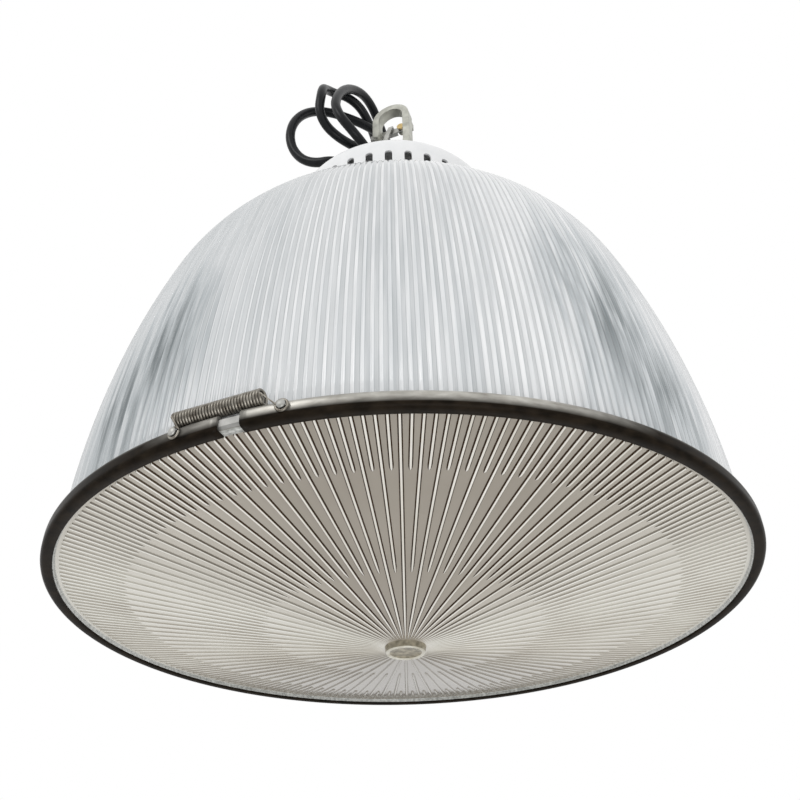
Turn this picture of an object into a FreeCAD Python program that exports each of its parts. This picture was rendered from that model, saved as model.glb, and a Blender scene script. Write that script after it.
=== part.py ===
"""High bay pendant light: prismatic dome and lens, clamp band, vented cap, latch hook and flex.

Millimetres, +Z up. The origin is the bearing point of the hook, the highest point inside its bend,
where the light hangs. The lamp's axis is the Z axis, and the front of the light faces -Y.
Most pieces are drawn above the rim plane, the underside of the dome's flange, and share one Placement.
"""
import FreeCAD, Part
import math
import os
import Mesh
import Sketcher
from FreeCAD import Rotation, Vector

doc = FreeCAD.newDocument("HighBayLight")

# ---------------------------------------------------------------- driving dimensions
SIZES = {
    # dome: acrylic reflector
    "dome_radius": 199.0, "dome_height": 247.4, "dome_wall": 3.4, "dome_flange": 2.7,
    "dome_rim_lip": 4.3, "rib_depth": 0.9, "crown_margin": 4.2,
    "shoulder_ratio": 1.889,
    "crown_turn": 42.9, "shoulder_turn": 28.8, "dome_ribs": 90, "neck_radius": 76.0,
    # lens: shallow acrylic cone below the rim
    "lens_wall": 2.0, "lens_depth": 29.0, "plain_ring": 6.5, "boss_radius": 12.3, "boss_height": 5.0,
    "groove_width": 2.4, "groove_crest": 0.9, "groove_height": 0.9,
    "mid_start": 80.0, "outer_start": 160.0, "inner_start": 24.0,
    # rim: gasket, clamp band, spring
    "rim_gasket_thick": 1.4, "band_sheet": 1.2, "band_lip": 6.5, "band_corner": 2.4,
    "rim_clearance": 1.5, "gap_width": 11.0, "gap_azimuth": -20.4,
    "bridge_length": 34.0,
    "spring_wire": 1.3, "spring_radius": 3.9, "spring_turns": 30, "coil_azimuth": -22.2,
    "stud_azimuth": -20.7, "stud_span": 51.6, "stud_radius": 1.7, "stud_head": 2.3, "stud_length": 3.6,
    # neck: gasket, ring, screws
    "neck_gasket_thick": 2.0, "neck_ring_thick": 3.0, "clamp_radius": 93.0, "bolt_circle": 88.5,
    "bolt_count": 6, "bolt_radius": 2.0, "bolt_clearance": 0.3, "bolt_head_radius": 3.5,
    "bolt_head_height": 2.6, "nut_flats": 7.0, "nut_height": 3.2,
    # cap: spun housing with vent slots
    "cap_height": 113.0, "cap_sheet": 1.5, "skirt_radius": 83.3, "crown_radius": 96.0,
    "crown_flat": 44.0, "cap_corner": 20.0, "slot_count": 36, "slot_width": 5.5,
    "slot_length": 20.0, "slot_top": 64.6, "slot_phase": -2.3,
    # hook: flat bar crook with a threaded stud
    "hook_reach": 111.6, "bar_thick": 6.0, "bar_depth": 9.5, "hook_bore": 11.5, "tip_drop": 18.5,
    "shank_drop": 46.0, "jog_drop": 26.0, "foot_drop": 16.0, "hook_turn": -20.0,
    "hook_stud_radius": 6.0, "hook_stud_below": 13.0, "hook_collar_radius": 8.5,
    "hook_collar_height": 4.0, "hook_nut_flats": 19.0, "hook_nut_height": 6.5,
    "hook_washer_radius": 12.0, "hook_washer_thick": 2.0,
    # latch: pressed keeper on the back of the bar
    "latch_sheet": 1.2, "latch_height": 6.0, "latch_overhang": 6.0, "latch_lift": 19.0,
    "latch_gap": 0.4, "rivet_radius": 1.8, "rivet_head_radius": 3.4, "rivet_head_height": 1.3,
    "arm_width": 4.6, "arm_length": 20.0, "latch_spring_wire": 0.8, "latch_spring_radius": 3.0,
    # flex and gland
    "flex_radius": 4.25, "gland_x": -12.0, "gland_y": 28.0, "gland_flats": 22.0,
    "gland_hex_height": 7.0, "gland_neck_radius": 8.0, "gland_neck_height": 8.0,
    "gland_nut_height": 13.0, "gland_thread_below": 9.0, "gland_lock_height": 4.5,
    "gland_hole_clearance": 0.2,
    # lampholder and wiring
    "bracket_sheet": 2.0, "bracket_width": 26.0, "bracket_height": 38.0, "bracket_reach": 30.0,
    "bracket_bend": 3.0, "holder_radius": 30.0, "holder_height": 72.0, "holder_bore": 20.8,
    "holder_depth": 52.0, "shell_wall": 0.8, "contact_radius": 6.0, "contact_height": 5.0,
    "holder_screw_span": 18.0, "block_length": 24.0, "block_width": 18.0, "block_height": 14.0,
    "pole_pitch": 7.5, "core_radius": 1.05,
}

sheet = doc.addObject("Spreadsheet::Sheet", "Sizes")
for row, (alias, number) in enumerate(SIZES.items(), start=1):
    sheet.set(f"A{row}", alias)
    sheet.set(f"B{row}", str(number))
    sheet.setAlias(f"B{row}", alias)
doc.recompute()


class Dim:
    """A size with its present value and the expression that keeps it tied to the sheet."""

    def __init__(self, value, text):
        self.value = float(value)
        self.text = text

    def join(self, other, sign, value):
        return Dim(value, f"({self.text} {sign} {as_dim(other).text})")

    def __add__(self, other):
        return self.join(other, "+", self.value + as_dim(other).value)

    def __sub__(self, other):
        return self.join(other, "-", self.value - as_dim(other).value)

    def __mul__(self, other):
        return self.join(other, "*", self.value * as_dim(other).value)

    def __truediv__(self, other):
        return self.join(other, "/", self.value / as_dim(other).value)

    def __neg__(self):
        return Dim(-self.value, f"(0 - {self.text})")

    def root(self):
        return Dim(math.sqrt(self.value), f"sqrt({self.text})")


def as_dim(number):
    return number if isinstance(number, Dim) else Dim(number, repr(float(number)))


def size(alias):
    return Dim(sheet.get(alias), f"Sizes.{alias}")


S = {alias: size(alias) for alias in SIZES}
V = {alias: S[alias].value for alias in SIZES}
ZERO = as_dim(0)


# ---------------------------------------------------------------- helpers
def bind(obj, properties):
    """Tie properties of obj to expressions of the sheet."""
    for name, dim in properties.items():
        obj.setExpression(name, as_dim(dim).text)


def new_body(name):
    body = doc.addObject("PartDesign::Body", name)
    body.Label = name
    return body


def sketch_in(body, name, role="XZ_Plane"):
    """A sketch on one of the body's own origin planes."""
    sketch = body.newObject("Sketcher::SketchObject", name)
    plane = next(f for f in body.Origin.OriginFeatures if f.Role == role)
    sketch.AttachmentSupport = [(plane, "")]
    sketch.MapMode = "FlatFace"
    return sketch


def tie_point(sketch, geometry, end, point):
    """Fix one end of a sketch line or arc at a point given by two sizes."""
    for kind, axis, dim in (("DistanceX", -2, point[0]), ("DistanceY", -1, point[1])):
        dim = as_dim(dim)
        if dim.text == "0.0":
            sketch.addConstraint(Sketcher.Constraint("PointOnObject", geometry, end, axis))
        else:
            index = sketch.addConstraint(Sketcher.Constraint(kind, -1, 1, geometry, end, dim.value))
            sketch.setExpression(f"Constraints[{index}]", dim.text)


def draw_path(sketch, path, closed=True):
    """Draw lines and arcs through the points of path.

    A point is (x, y). With two more entries, (x, y, radius, side), the stretch that leads to it is an
    arc of that radius with its centre on the left (side 1) or the right (side -1) of the way there.
    """
    pairs = list(zip(path, path[1:] + path[:1])) if closed else list(zip(path, path[1:]))
    ends = []
    for start, stop in pairs:
        a = Vector(as_dim(start[0]).value, as_dim(start[1]).value)
        b = Vector(as_dim(stop[0]).value, as_dim(stop[1]).value)
        if len(stop) == 2:
            geometry = sketch.addGeometry(Part.LineSegment(a, b))
            ends.append((geometry, 1, 2))
            continue
        radius, side = as_dim(stop[2]), stop[3]
        chord = b - a
        left = Vector(-chord.y, chord.x).normalize()
        rise = math.sqrt(max(radius.value ** 2 - (chord.Length / 2) ** 2, 0.0))
        centre = (a + b) * 0.5 + left * (rise * side)
        first, last = (a, b) if side > 0 else (b, a)
        angles = [math.atan2(p.y - centre.y, p.x - centre.x) for p in (first, last)]
        circle = Part.Circle(centre, Vector(0, 0, 1), radius.value)
        geometry = sketch.addGeometry(Part.ArcOfCircle(circle, *angles))
        ends.append((geometry, 1, 2) if side > 0 else (geometry, 2, 1))
        index = sketch.addConstraint(Sketcher.Constraint("Radius", geometry, radius.value))
        sketch.setExpression(f"Constraints[{index}]", radius.text)
    for (start, _), (geometry, head, _) in zip(pairs, ends):
        tie_point(sketch, geometry, head, start)
    joins = list(zip(ends, ends[1:] + ends[:1])) if closed else list(zip(ends, ends[1:]))
    for (before, _, tail), (after, head, _) in joins:
        sketch.addConstraint(Sketcher.Constraint("Coincident", before, tail, after, head))
    if not closed:
        geometry, _, tail = ends[-1]
        tie_point(sketch, geometry, tail, path[-1])


def draw_circle(sketch, x, y, radius):
    x, y, radius = as_dim(x), as_dim(y), as_dim(radius)
    circle = Part.Circle(Vector(x.value, y.value), Vector(0, 0, 1), radius.value)
    geometry = sketch.addGeometry(circle)
    tie_point(sketch, geometry, 3, (x, y))
    index = sketch.addConstraint(Sketcher.Constraint("Radius", geometry, radius.value))
    sketch.setExpression(f"Constraints[{index}]", radius.text)


def revolve_body(name, path):
    """A turned, spun or moulded piece: path is its section, as (radius, height) points."""
    body = new_body(name)
    section = sketch_in(body, f"{name}_section")
    draw_path(section, path)
    turn = body.newObject("PartDesign::Revolution", f"{name}_turn")
    turn.Profile = section
    turn.ReferenceAxis = (section, ["V_Axis"])
    turn.Angle = 360
    return body


def pocket_through(body, name, draw, role="XY_Plane"):
    """Cut right through the body, both ways from the plane, along what draw puts in the sketch."""
    sketch = sketch_in(body, f"{name}_outline", role)
    draw(sketch)
    pocket = body.newObject("PartDesign::Pocket", name)
    pocket.Profile = sketch
    pocket.Type = "ThroughAll"
    pocket.SideType = "Two sides"
    pocket.Type2 = "ThroughAll"
    return pocket


def round_pattern(body, feature, count, span=360.0):
    """Repeat a feature about the body's Z axis. span under 360 puts the last copy at span."""
    pattern = body.newObject("PartDesign::PolarPattern", f"{feature.Name}_pattern")
    pattern.Originals = [feature]
    axis = next(f for f in body.Origin.OriginFeatures if f.Role == "Z_Axis")
    pattern.Axis = (axis, [""])
    pattern.Angle = span
    pattern.Occurrences = int(as_dim(count).value)
    pattern.setExpression("Occurrences", as_dim(count).text)
    body.Tip = pattern
    return pattern


NODES = []


def place(obj, height=None, x=0.0, y=0.0, turn=0.0):
    """List obj as a sub-part and put it at its place in the light's frame."""
    obj.Placement.Rotation = Rotation(Vector(0, 0, 1), as_dim(turn).value)
    if isinstance(turn, Dim):
        obj.setExpression("Placement.Rotation.Angle", f"{turn.text} * 1 deg")
    bind(obj, {"Placement.Base.x": x, "Placement.Base.y": y,
               "Placement.Base.z": RIM_PLANE if height is None else height})
    NODES.append(obj)
    return obj


def feature(name, shape, height=None, x=0.0, y=0.0, turn=0.0):
    """A sub-part whose shape is made here, then placed."""
    obj = doc.addObject("Part::Feature", name)
    obj.Label = name
    obj.Shape = shape
    return place(obj, height, x, y, turn)


def polar(radius, azimuth, height=0.0):
    """A point at an azimuth in degrees, counted from the front (-Y) towards +X."""
    angle = math.radians(azimuth)
    return Vector(radius * math.sin(angle), -radius * math.cos(angle), height)


# ---------------------------------------------------------------- levels
CAP_BASE = S["dome_height"] + S["neck_gasket_thick"]
CAP_TOP = CAP_BASE + S["cap_height"]
RIM_PLANE = -(CAP_TOP + S["hook_reach"])
FLANGE_RADIUS = S["dome_radius"] + S["dome_rim_lip"]
BAND_INSIDE = FLANGE_RADIUS + S["rim_clearance"]
BAND_RADIUS = BAND_INSIDE + S["band_sheet"]
BAND_TOP = S["dome_flange"] + S["band_sheet"]
LENS_TOP = -S["rim_gasket_thick"]
LENS_BACK = LENS_TOP - S["lens_wall"]
BAND_BOTTOM = LENS_BACK - S["band_sheet"]


# ---------------------------------------------------------------- dome
TURNS = [0.0, math.radians(V["crown_turn"]), math.radians(V["crown_turn"] + V["shoulder_turn"]),
         math.pi / 2]
FLAT_RADIUS = V["clamp_radius"] + V["crown_margin"]


def dome_radii():
    """Radii of the outline's three arcs, from the height and the room between flat top and rim.

    The shoulder keeps its ratio to the crown, and the wall takes what is left of the height.
    """
    ratio, (sin_1, cos_1), (sin_2, cos_2) = V["shoulder_ratio"], *[
        (math.sin(turn), math.cos(turn)) for turn in TURNS[1:3]]
    room = V["dome_radius"] - FLAT_RADIUS
    drop = V["dome_height"] - V["dome_flange"]
    reach = sin_1 + ratio * (sin_2 - sin_1)
    fall = 1 - cos_1 + ratio * (cos_1 - cos_2)
    gain = (1 - sin_2) / cos_2
    crown = (room - gain * drop) / (reach - gain * fall)
    return crown, crown * ratio, (drop - crown * fall) / cos_2


def dome_arcs(top, inset):
    """Tangent arcs from the flat top at height top round to a vertical rim: centre, radius, turns."""
    arcs = []
    radii = [radius - inset for radius in dome_radii()]
    r, z = FLAT_RADIUS, top - radii[0]
    for index, radius in enumerate(radii):
        if index:
            step = radii[index - 1] - radius
            r += step * math.sin(TURNS[index])
            z += step * math.cos(TURNS[index])
        arcs.append((r, z, radius, TURNS[index], TURNS[index + 1]))
    return arcs


def outline_points(top, inset, chords=4):
    """Points (radius, height) along the dome's outline, a few chords to each arc."""
    points = []
    for r, z, radius, first, last in dome_arcs(top, inset):
        for step in range(chords):
            turn = first + (last - first) * step / chords
            points.append((r + radius * math.sin(turn), z + radius * math.cos(turn)))
    points.append((r + radius, z))
    return points


def sewn_solid(faces):
    shell = Part.Shell(faces)
    shell.sewShape()
    solid = Part.Solid(shell)
    if solid.Volume < 0:
        solid.reverse()
    return solid


def fluted_plug():
    """The dome's outside as a solid: ribs that fade from the rim to the smooth flat top."""
    count = 2 * int(V["dome_ribs"])
    foot = 0.5 * V["dome_flange"]
    outlines = []
    for index in range(count):
        inset = V["rib_depth"] if index % 2 else 0.0
        outline = outline_points(V["dome_height"], inset) + [(V["dome_radius"] - inset, foot)]
        outlines.append([polar(r, 360.0 * index / count, z) for r, z in outline])
    faces = []
    for outline, following in zip(outlines, outlines[1:] + outlines[:1]):
        strips = zip(outline, outline[1:], following, following[1:])
        for a, b, c, d in strips:
            faces.append(Part.makeRuledSurface(Part.makeLine(a, b), Part.makeLine(c, d)))
    for end in (0, -1):
        ring = [outline[end] for outline in outlines]
        faces.append(Part.Face(Part.makePolygon(ring + ring[:1])))
    return sewn_solid(faces)


def turned(points):
    """A solid of revolution from a closed section of (radius, height) points."""
    corners = [Vector(r, 0, z) for r, z in points]
    section = Part.Face(Part.makePolygon(corners + corners[:1]))
    return section.revolve(Vector(0, 0, 0), Vector(0, 0, 1), 360)


def dome_cavity():
    """The smooth inside of the dome, down through the open rim."""
    top = V["dome_height"] - V["dome_wall"]
    below = -V["dome_flange"]
    inner = V["dome_radius"] - V["dome_wall"]
    outline = outline_points(top, V["dome_wall"], chords=3)
    return turned([(0, below), (0, top)] + outline + [(inner, below)])


def bolt_pins(radius, low, high):
    """Upright pins round the neck's bolt circle, to drill holes or to make shanks."""
    count = int(V["bolt_count"])
    return [Part.makeCylinder(radius, high - low, polar(V["bolt_circle"], 360.0 * i / count, low))
            for i in range(count)]


BOLT_HOLE = V["bolt_radius"] + V["bolt_clearance"]


def make_dome():
    flange = Part.makeCylinder(FLANGE_RADIUS.value, V["dome_flange"])
    neck = Part.makeCylinder(V["neck_radius"], V["dome_height"] * 2)
    body = fluted_plug().fuse(flange).cut(dome_cavity())
    return body.cut([neck] + bolt_pins(BOLT_HOLE, V["dome_flange"], V["dome_height"] * 2))


feature("dome", make_dome())


# ---------------------------------------------------------------- lens
CONE_EDGE = S["dome_radius"] - S["plain_ring"]
CONE_SLOPE = S["lens_depth"] / CONE_EDGE
SECTORS = 60


def cone_level(radius):
    """Height of the lens's lower face at a radius."""
    return LENS_BACK.value - (CONE_EDGE.value - radius) * CONE_SLOPE.value


def ridge(start, azimuth):
    """A straight prism along the cone from radius start to the plain ring, sunk into its face."""
    slope = math.atan(CONE_SLOPE.value)
    along = Vector(math.cos(slope), 0, math.sin(slope))
    down = Vector(math.sin(slope), 0, -math.cos(slope))
    foot, crest = V["groove_width"] / 2, V["groove_crest"] / 2
    sink = 0.5 * V["lens_wall"]
    base = Vector(start, 0, cone_level(start))
    corners = [base + Vector(0, half, 0) + down * drop
               for half, drop in ((-foot, -sink), (-foot, 0.0), (-crest, V["groove_height"]),
                                  (crest, V["groove_height"]), (foot, 0.0), (foot, -sink))]
    run = (CONE_EDGE.value - start) / math.cos(slope)
    prism = Part.Face(Part.makePolygon(corners + corners[:1])).extrude(along * run)
    prism.rotate(Vector(0, 0, 0), Vector(0, 0, 1), azimuth - 90.0)
    return prism


def facet_ring(radius, level):
    """Corners of a flat-sided ring whose sides face the sectors' middles."""
    half = 180.0 / SECTORS
    return [polar(radius / math.cos(math.radians(half)), 2 * half * i + half, level)
            for i in range(SECTORS)]


def facet_band(inner, outer):
    """Flat faces between two rings of corners."""
    sides = zip(inner, inner[1:] + inner[:1], outer, outer[1:] + outer[:1])
    return [Part.Face(Part.makePolygon([a, b, d, c, a])) for a, b, c, d in sides]


def facet_disc(ring):
    return Part.Face(Part.makePolygon(ring + ring[:1]))


def make_lens():
    """A cone under a flat flange, moulded in one with its radial ridges and the boss at its centre.

    Each sector has a ridge from the centre, one more from half-way out, and two more near the rim.
    """
    back, wall = LENS_BACK.value, V["lens_wall"]
    edge, boss = CONE_EDGE.value, V["boss_radius"]
    low = cone_level(boss)
    outer, centre = facet_ring(edge, back), facet_ring(boss, low)
    outer_top, centre_top = facet_ring(edge, back + wall), facet_ring(boss, low + wall)
    cone = sewn_solid(facet_band(outer, centre) + facet_band(outer_top, centre_top)
                      + facet_band(outer, outer_top) + [facet_disc(centre), facet_disc(centre_top)])
    flange = Part.makeCylinder(FLANGE_RADIUS.value, wall, Vector(0, 0, back))
    flange = flange.cut(facet_disc(outer).extrude(Vector(0, 0, wall)))
    face, bevel = low - V["boss_height"], 0.12 * boss
    knob = turned([(0, face), (boss - bevel, face), (boss, face + bevel), (boss, low + wall / 2),
                   (0, low + wall / 2)])
    step = 360.0 / SECTORS
    rows = (("inner_start", 0.0, step), ("mid_start", step / 2, step),
            ("outer_start", step / 4, step / 2))
    prisms = [ridge(V[start], first + gap * i)
              for start, first, gap in rows for i in range(round(360.0 / gap))]
    return cone.multiFuse([flange, knob] + prisms).removeSplitter()


feature("lens", make_lens())


# ---------------------------------------------------------------- rim gasket and clamp band
place(revolve_body("rim_gasket", [
    (CONE_EDGE, LENS_TOP), (FLANGE_RADIUS, LENS_TOP), (FLANGE_RADIUS, ZERO), (CONE_EDGE, ZERO)]))

LIP_EDGE = BAND_RADIUS - S["band_lip"]
band_ring = revolve_body("band_ring", [
    (LIP_EDGE, BAND_BOTTOM), (BAND_RADIUS - S["band_corner"], BAND_BOTTOM),
    (BAND_RADIUS, BAND_BOTTOM + S["band_corner"], S["band_corner"], 1),
    (BAND_RADIUS, BAND_TOP - S["band_corner"]),
    (BAND_RADIUS - S["band_corner"], BAND_TOP, S["band_corner"], 1),
    (LIP_EDGE, BAND_TOP), (LIP_EDGE, BAND_TOP - S["band_sheet"]),
    (BAND_INSIDE - S["band_corner"] + S["band_sheet"], BAND_TOP - S["band_sheet"]),
    (BAND_INSIDE, BAND_TOP - S["band_corner"], S["band_corner"] - S["band_sheet"], -1),
    (BAND_INSIDE, BAND_BOTTOM + S["band_corner"]),
    (BAND_INSIDE - S["band_corner"] + S["band_sheet"], BAND_BOTTOM + S["band_sheet"],
     S["band_corner"] - S["band_sheet"], -1),
    (LIP_EDGE, BAND_BOTTOM + S["band_sheet"])])

gap_block = doc.addObject("Part::Box", "band_gap")
bind(gap_block, {"Length": S["gap_width"], "Width": BAND_RADIUS * 0.3, "Height": BAND_TOP * 8,
                 "Placement.Base.x": S["gap_width"] / -2, "Placement.Base.y": BAND_RADIUS * -1.1,
                 "Placement.Base.z": BAND_TOP * -4})


def make_bridge():
    """A curved clip inside the band's channel that spans the gap, with its outer edges bevelled."""
    outer, inner = BAND_INSIDE.value - 0.1, FLANGE_RADIUS.value + 0.1
    low, high = LENS_BACK.value + 0.1, V["dome_flange"] - 0.1
    bevel = V["band_corner"] - V["band_sheet"]
    points = [(inner, low), (outer - bevel, low), (outer, low + bevel), (outer, high - bevel),
              (outer - bevel, high), (inner, high)]
    span = math.degrees(V["bridge_length"] / outer)
    corners = [Vector(r, 0, z) for r, z in points]
    section = Part.Face(Part.makePolygon(corners + corners[:1]))
    section.rotate(Vector(0, 0, 0), Vector(0, 0, 1), V["gap_azimuth"] - 90.0 - span / 2)
    return section.revolve(Vector(0, 0, 0), Vector(0, 0, 1), span)


feature("bridge_plate", make_bridge())

# ---------------------------------------------------------------- spring of the band
STUD_LEVEL = 0.5 * (BAND_TOP.value + BAND_BOTTOM.value) + 0.8
SPRING_LEVEL = BAND_TOP.value + V["spring_radius"] + 0.3
SPRING_LINE = BAND_RADIUS.value - 1.4
STUD_TURN = math.degrees(math.asin(V["stud_span"] / 2 / BAND_RADIUS.value))


def make_stud(azimuth):
    """A headed stud riveted through the band's wall, standing out from it."""
    foot = BAND_INSIDE.value
    out = polar(1.0, azimuth)
    shank = Part.makeCylinder(V["stud_radius"], V["stud_length"] + V["band_sheet"],
                              polar(foot, azimuth, STUD_LEVEL), out)
    head = Part.makeCylinder(V["stud_head"], V["band_sheet"],
                             polar(foot + V["stud_length"] + V["band_sheet"], azimuth, STUD_LEVEL), out)
    return shank.fuse(head)


STUDS = [V["stud_azimuth"] + side * STUD_TURN for side in (-1, 1)]


def stud_hole(name, azimuth):
    """A radial cutter for one stud, drawn in the band's own frame, which the gap turns."""
    hole = doc.addObject("Part::Cylinder", name)
    bind(hole, {"Radius": S["stud_radius"], "Height": S["band_sheet"] * 4})
    turn = Rotation(Vector(0, 0, 1), azimuth - V["gap_azimuth"])
    start = turn.multVec(Vector(0, -(BAND_INSIDE.value - V["band_sheet"]), STUD_LEVEL))
    hole.Placement = FreeCAD.Placement(start, turn * Rotation(Vector(1, 0, 0), 90.0))
    return hole


cutters = doc.addObject("Part::MultiFuse", "band_cutters")
cutters.Shapes = [gap_block] + [stud_hole(f"stud_hole_{i}", a) for i, a in enumerate(STUDS, start=1)]
clamp_band = doc.addObject("Part::Cut", "clamp_band")
clamp_band.Label = "clamp_band"
clamp_band.Base, clamp_band.Tool = band_ring, cutters
place(clamp_band, turn=S["gap_azimuth"])
feature("spring_studs", Part.makeCompound([make_stud(a) for a in STUDS]))


def wire_tube(points, radius, ups):
    """A square-section wire along a polyline, standing on edge, as one closed solid."""
    rings = []
    for index, point in enumerate(points):
        before, after = points[max(index - 1, 0)], points[min(index + 1, len(points) - 1)]
        along = (after - before).normalize()
        side = along.cross(ups[index]).normalize()
        up = side.cross(along).normalize()
        rings.append([point + d * radius for d in (side, up, side * -1, up * -1)])
    triangles = []
    for ring, following in zip(rings, rings[1:]):
        for i in range(4):
            j = (i + 1) % 4
            triangles += [(ring[i], ring[j], following[j]), (ring[i], following[j], following[i])]
    for ring in (rings[0][::-1], rings[-1]):
        triangles += [(ring[0], ring[1], ring[2]), (ring[0], ring[2], ring[3])]
    shape = Part.Shape()
    shape.makeShapeFromMesh(Mesh.Mesh([list(map(tuple, t)) for t in triangles]).Topology, 0.001)
    solid = Part.Solid(shape.Shells[0])
    if solid.Volume < 0:
        solid.reverse()
    return solid


def make_spring():
    """A close-wound extension spring along the band, with a round loop at each end on its stud."""
    steps = 10
    wire, coil = V["spring_wire"], V["spring_radius"] - V["spring_wire"] / 2
    pitch = wire * 1.12
    length = V["spring_turns"] * pitch
    azimuth = V["coil_azimuth"]
    out, along = polar(1.0, azimuth), polar(1.0, azimuth + 90.0)
    up = Vector(0, 0, 1)
    middle = out * (SPRING_LINE - 1.0) + up * SPRING_LEVEL
    points, ups = [], []
    count = int(V["spring_turns"]) * steps
    for index in range(count + 1):
        turn = 2 * math.pi * index / steps
        radial = out * math.cos(turn) + up * math.sin(turn)
        points.append(middle + along * (length * (index / count - 0.5)) + radial * coil)
        ups.append(radial)
    loop = V["stud_radius"] + wire / 2 + 0.35
    for side, azimuth_stud in ((1, STUDS[1]), (-1, STUDS[0])):
        normal = polar(1.0, azimuth_stud)
        tangent = polar(side, azimuth_stud + 90.0)
        centre = polar(BAND_RADIUS.value + V["stud_length"] / 2, azimuth_stud, STUD_LEVEL)
        ring = [centre + (tangent * -math.cos(t) + up * math.sin(t)) * loop
                for t in (math.radians(a) for a in range(20, 321, 30))]
        if side > 0:
            points += ring
            ups += [normal] * len(ring)
        else:
            points = ring[::-1] + points
            ups = [normal] * len(ring) + ups
    return wire_tube(points, wire / 2, ups)


feature("band_spring", make_spring())


# ---------------------------------------------------------------- neck: gasket, ring, screws
def neck_plate(name, inner, low, thick):
    """A flat ring round the neck, drilled on the bolt circle."""
    body = new_body(name)
    outline = sketch_in(body, f"{name}_outline", "XY_Plane")
    draw_circle(outline, ZERO, ZERO, S["clamp_radius"])
    draw_circle(outline, ZERO, ZERO, inner)
    pad = body.newObject("PartDesign::Pad", f"{name}_plate")
    pad.Profile = outline
    bind(pad, {"Length": thick})
    doc.recompute()
    hole = pocket_through(body, f"{name}_hole", lambda sketch: draw_circle(
        sketch, ZERO, -S["bolt_circle"], S["bolt_radius"] + S["bolt_clearance"]))
    round_pattern(body, hole, S["bolt_count"])
    return place(body, RIM_PLANE + low)


neck_plate("neck_gasket", S["neck_radius"] + 1.0, S["dome_height"], S["neck_gasket_thick"])
RING_LOW = S["dome_height"] - S["dome_wall"] - S["neck_ring_thick"]
neck_plate("neck_ring", S["neck_radius"] - 2.0, RING_LOW, S["neck_ring_thick"])


def hex_nut(flats, height, bore, base):
    """A hexagon nut standing on base, with a plain hole."""
    corner = flats / math.sqrt(3)
    corners = [base + polar(corner, 60.0 * i + 30.0) for i in range(6)]
    blank = Part.Face(Part.makePolygon(corners + corners[:1])).extrude(Vector(0, 0, height))
    return blank.cut(Part.makeCylinder(bore, height, base))


def make_neck_screws():
    seat = CAP_BASE.value + V["cap_sheet"]
    foot = RING_LOW.value - V["nut_height"] - 1.0
    screws = []
    for shank, head in zip(bolt_pins(V["bolt_radius"], foot, seat),
                           bolt_pins(V["bolt_head_radius"], seat, seat + V["bolt_head_height"])):
        screws.append(shank.fuse(head))
    return Part.makeCompound(screws)


def make_neck_nuts():
    count = int(V["bolt_count"])
    low = RING_LOW.value - V["nut_height"]
    return Part.makeCompound([
        hex_nut(V["nut_flats"], V["nut_height"], V["bolt_radius"],
                polar(V["bolt_circle"], 360.0 * i / count, low)) for i in range(count)])


feature("neck_screws", make_neck_screws())
feature("neck_nuts", make_neck_nuts())

# ---------------------------------------------------------------- cap
CROWN_CENTRE = S["cap_height"] - (S["crown_radius"] * S["crown_radius"]
                                  - S["crown_flat"] * S["crown_flat"]).root()


def crown_points(inset):
    """The crown's outline inset by the sheet: skirt end, corner end and the edge of its flat."""
    corner = S["cap_corner"] - inset
    sphere = S["crown_radius"] - inset
    across = S["skirt_radius"] - S["cap_corner"]
    span = S["crown_radius"] - S["cap_corner"]
    rise = (span * span - across * across).root()
    skirt_end = (S["skirt_radius"] - inset, CROWN_CENTRE + rise)
    corner_end = (across * sphere / span, CROWN_CENTRE + rise * sphere / span)
    flat_level = S["cap_height"] - inset
    drop = flat_level - CROWN_CENTRE
    flat_edge = ((sphere * sphere - drop * drop).root(), flat_level)
    return skirt_end, corner_end, corner, flat_edge, sphere


def make_cap():
    outer_skirt, outer_corner, outer_arc, outer_flat, outer_sphere = crown_points(ZERO)
    inner_skirt, inner_corner, inner_arc, inner_flat, inner_sphere = crown_points(S["cap_sheet"])
    hole = S["hook_stud_radius"] + S["bolt_clearance"]
    body = revolve_body("cap", [
        (S["clamp_radius"], ZERO), (S["clamp_radius"], S["cap_sheet"]),
        (S["skirt_radius"], S["cap_sheet"]), outer_skirt,
        (*outer_corner, outer_arc, 1), (*outer_flat, outer_sphere, 1),
        (hole, outer_flat[1]), (hole, inner_flat[1]), inner_flat,
        (*inner_corner, inner_sphere, -1), (*inner_skirt, inner_arc, -1),
        (inner_skirt[0], ZERO)])
    doc.recompute()

    def slot(sketch):
        half, end = S["slot_width"] / 2, S["slot_top"] - S["slot_width"] / 2
        start = S["slot_top"] - S["slot_length"] + S["slot_width"] / 2
        draw_path(sketch, [(-half, start), (ZERO, start - half, half, 1), (half, start, half, 1),
                           (half, end), (ZERO, end + half, half, 1), (-half, end, half, 1)])

    pairs = S["slot_count"] / 2
    slots = pocket_through(body, "cap_slot", slot, "XZ_Plane")
    slots.Profile[0].AttachmentOffset.Rotation = Rotation(Vector(0, 1, 0), V["slot_phase"])
    slots.Profile[0].setExpression("AttachmentOffset.Rotation.Angle", "Sizes.slot_phase * 1 deg")
    round_pattern(body, slots, pairs, 180.0 - 360.0 / V["slot_count"])
    doc.recompute()
    hole = pocket_through(body, "cap_bolt_hole", lambda sketch: draw_circle(
        sketch, ZERO, -S["bolt_circle"], S["bolt_radius"] + S["bolt_clearance"]))
    round_pattern(body, hole, S["bolt_count"])
    doc.recompute()
    gland = pocket_through(body, "cap_gland_hole", lambda sketch: draw_circle(
        sketch, S["gland_x"], S["gland_y"], S["gland_neck_radius"] + S["gland_hole_clearance"]))
    body.Tip = gland
    return place(body, RIM_PLANE + CAP_BASE)


make_cap()

# ---------------------------------------------------------------- hook
HOOK_TURN = S["hook_turn"]
BEND_LEVEL = -V["hook_bore"]
BEND_REACH = V["hook_bore"] + V["bar_thick"] / 2
BAR_BACK = V["bar_depth"] / 2


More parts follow.
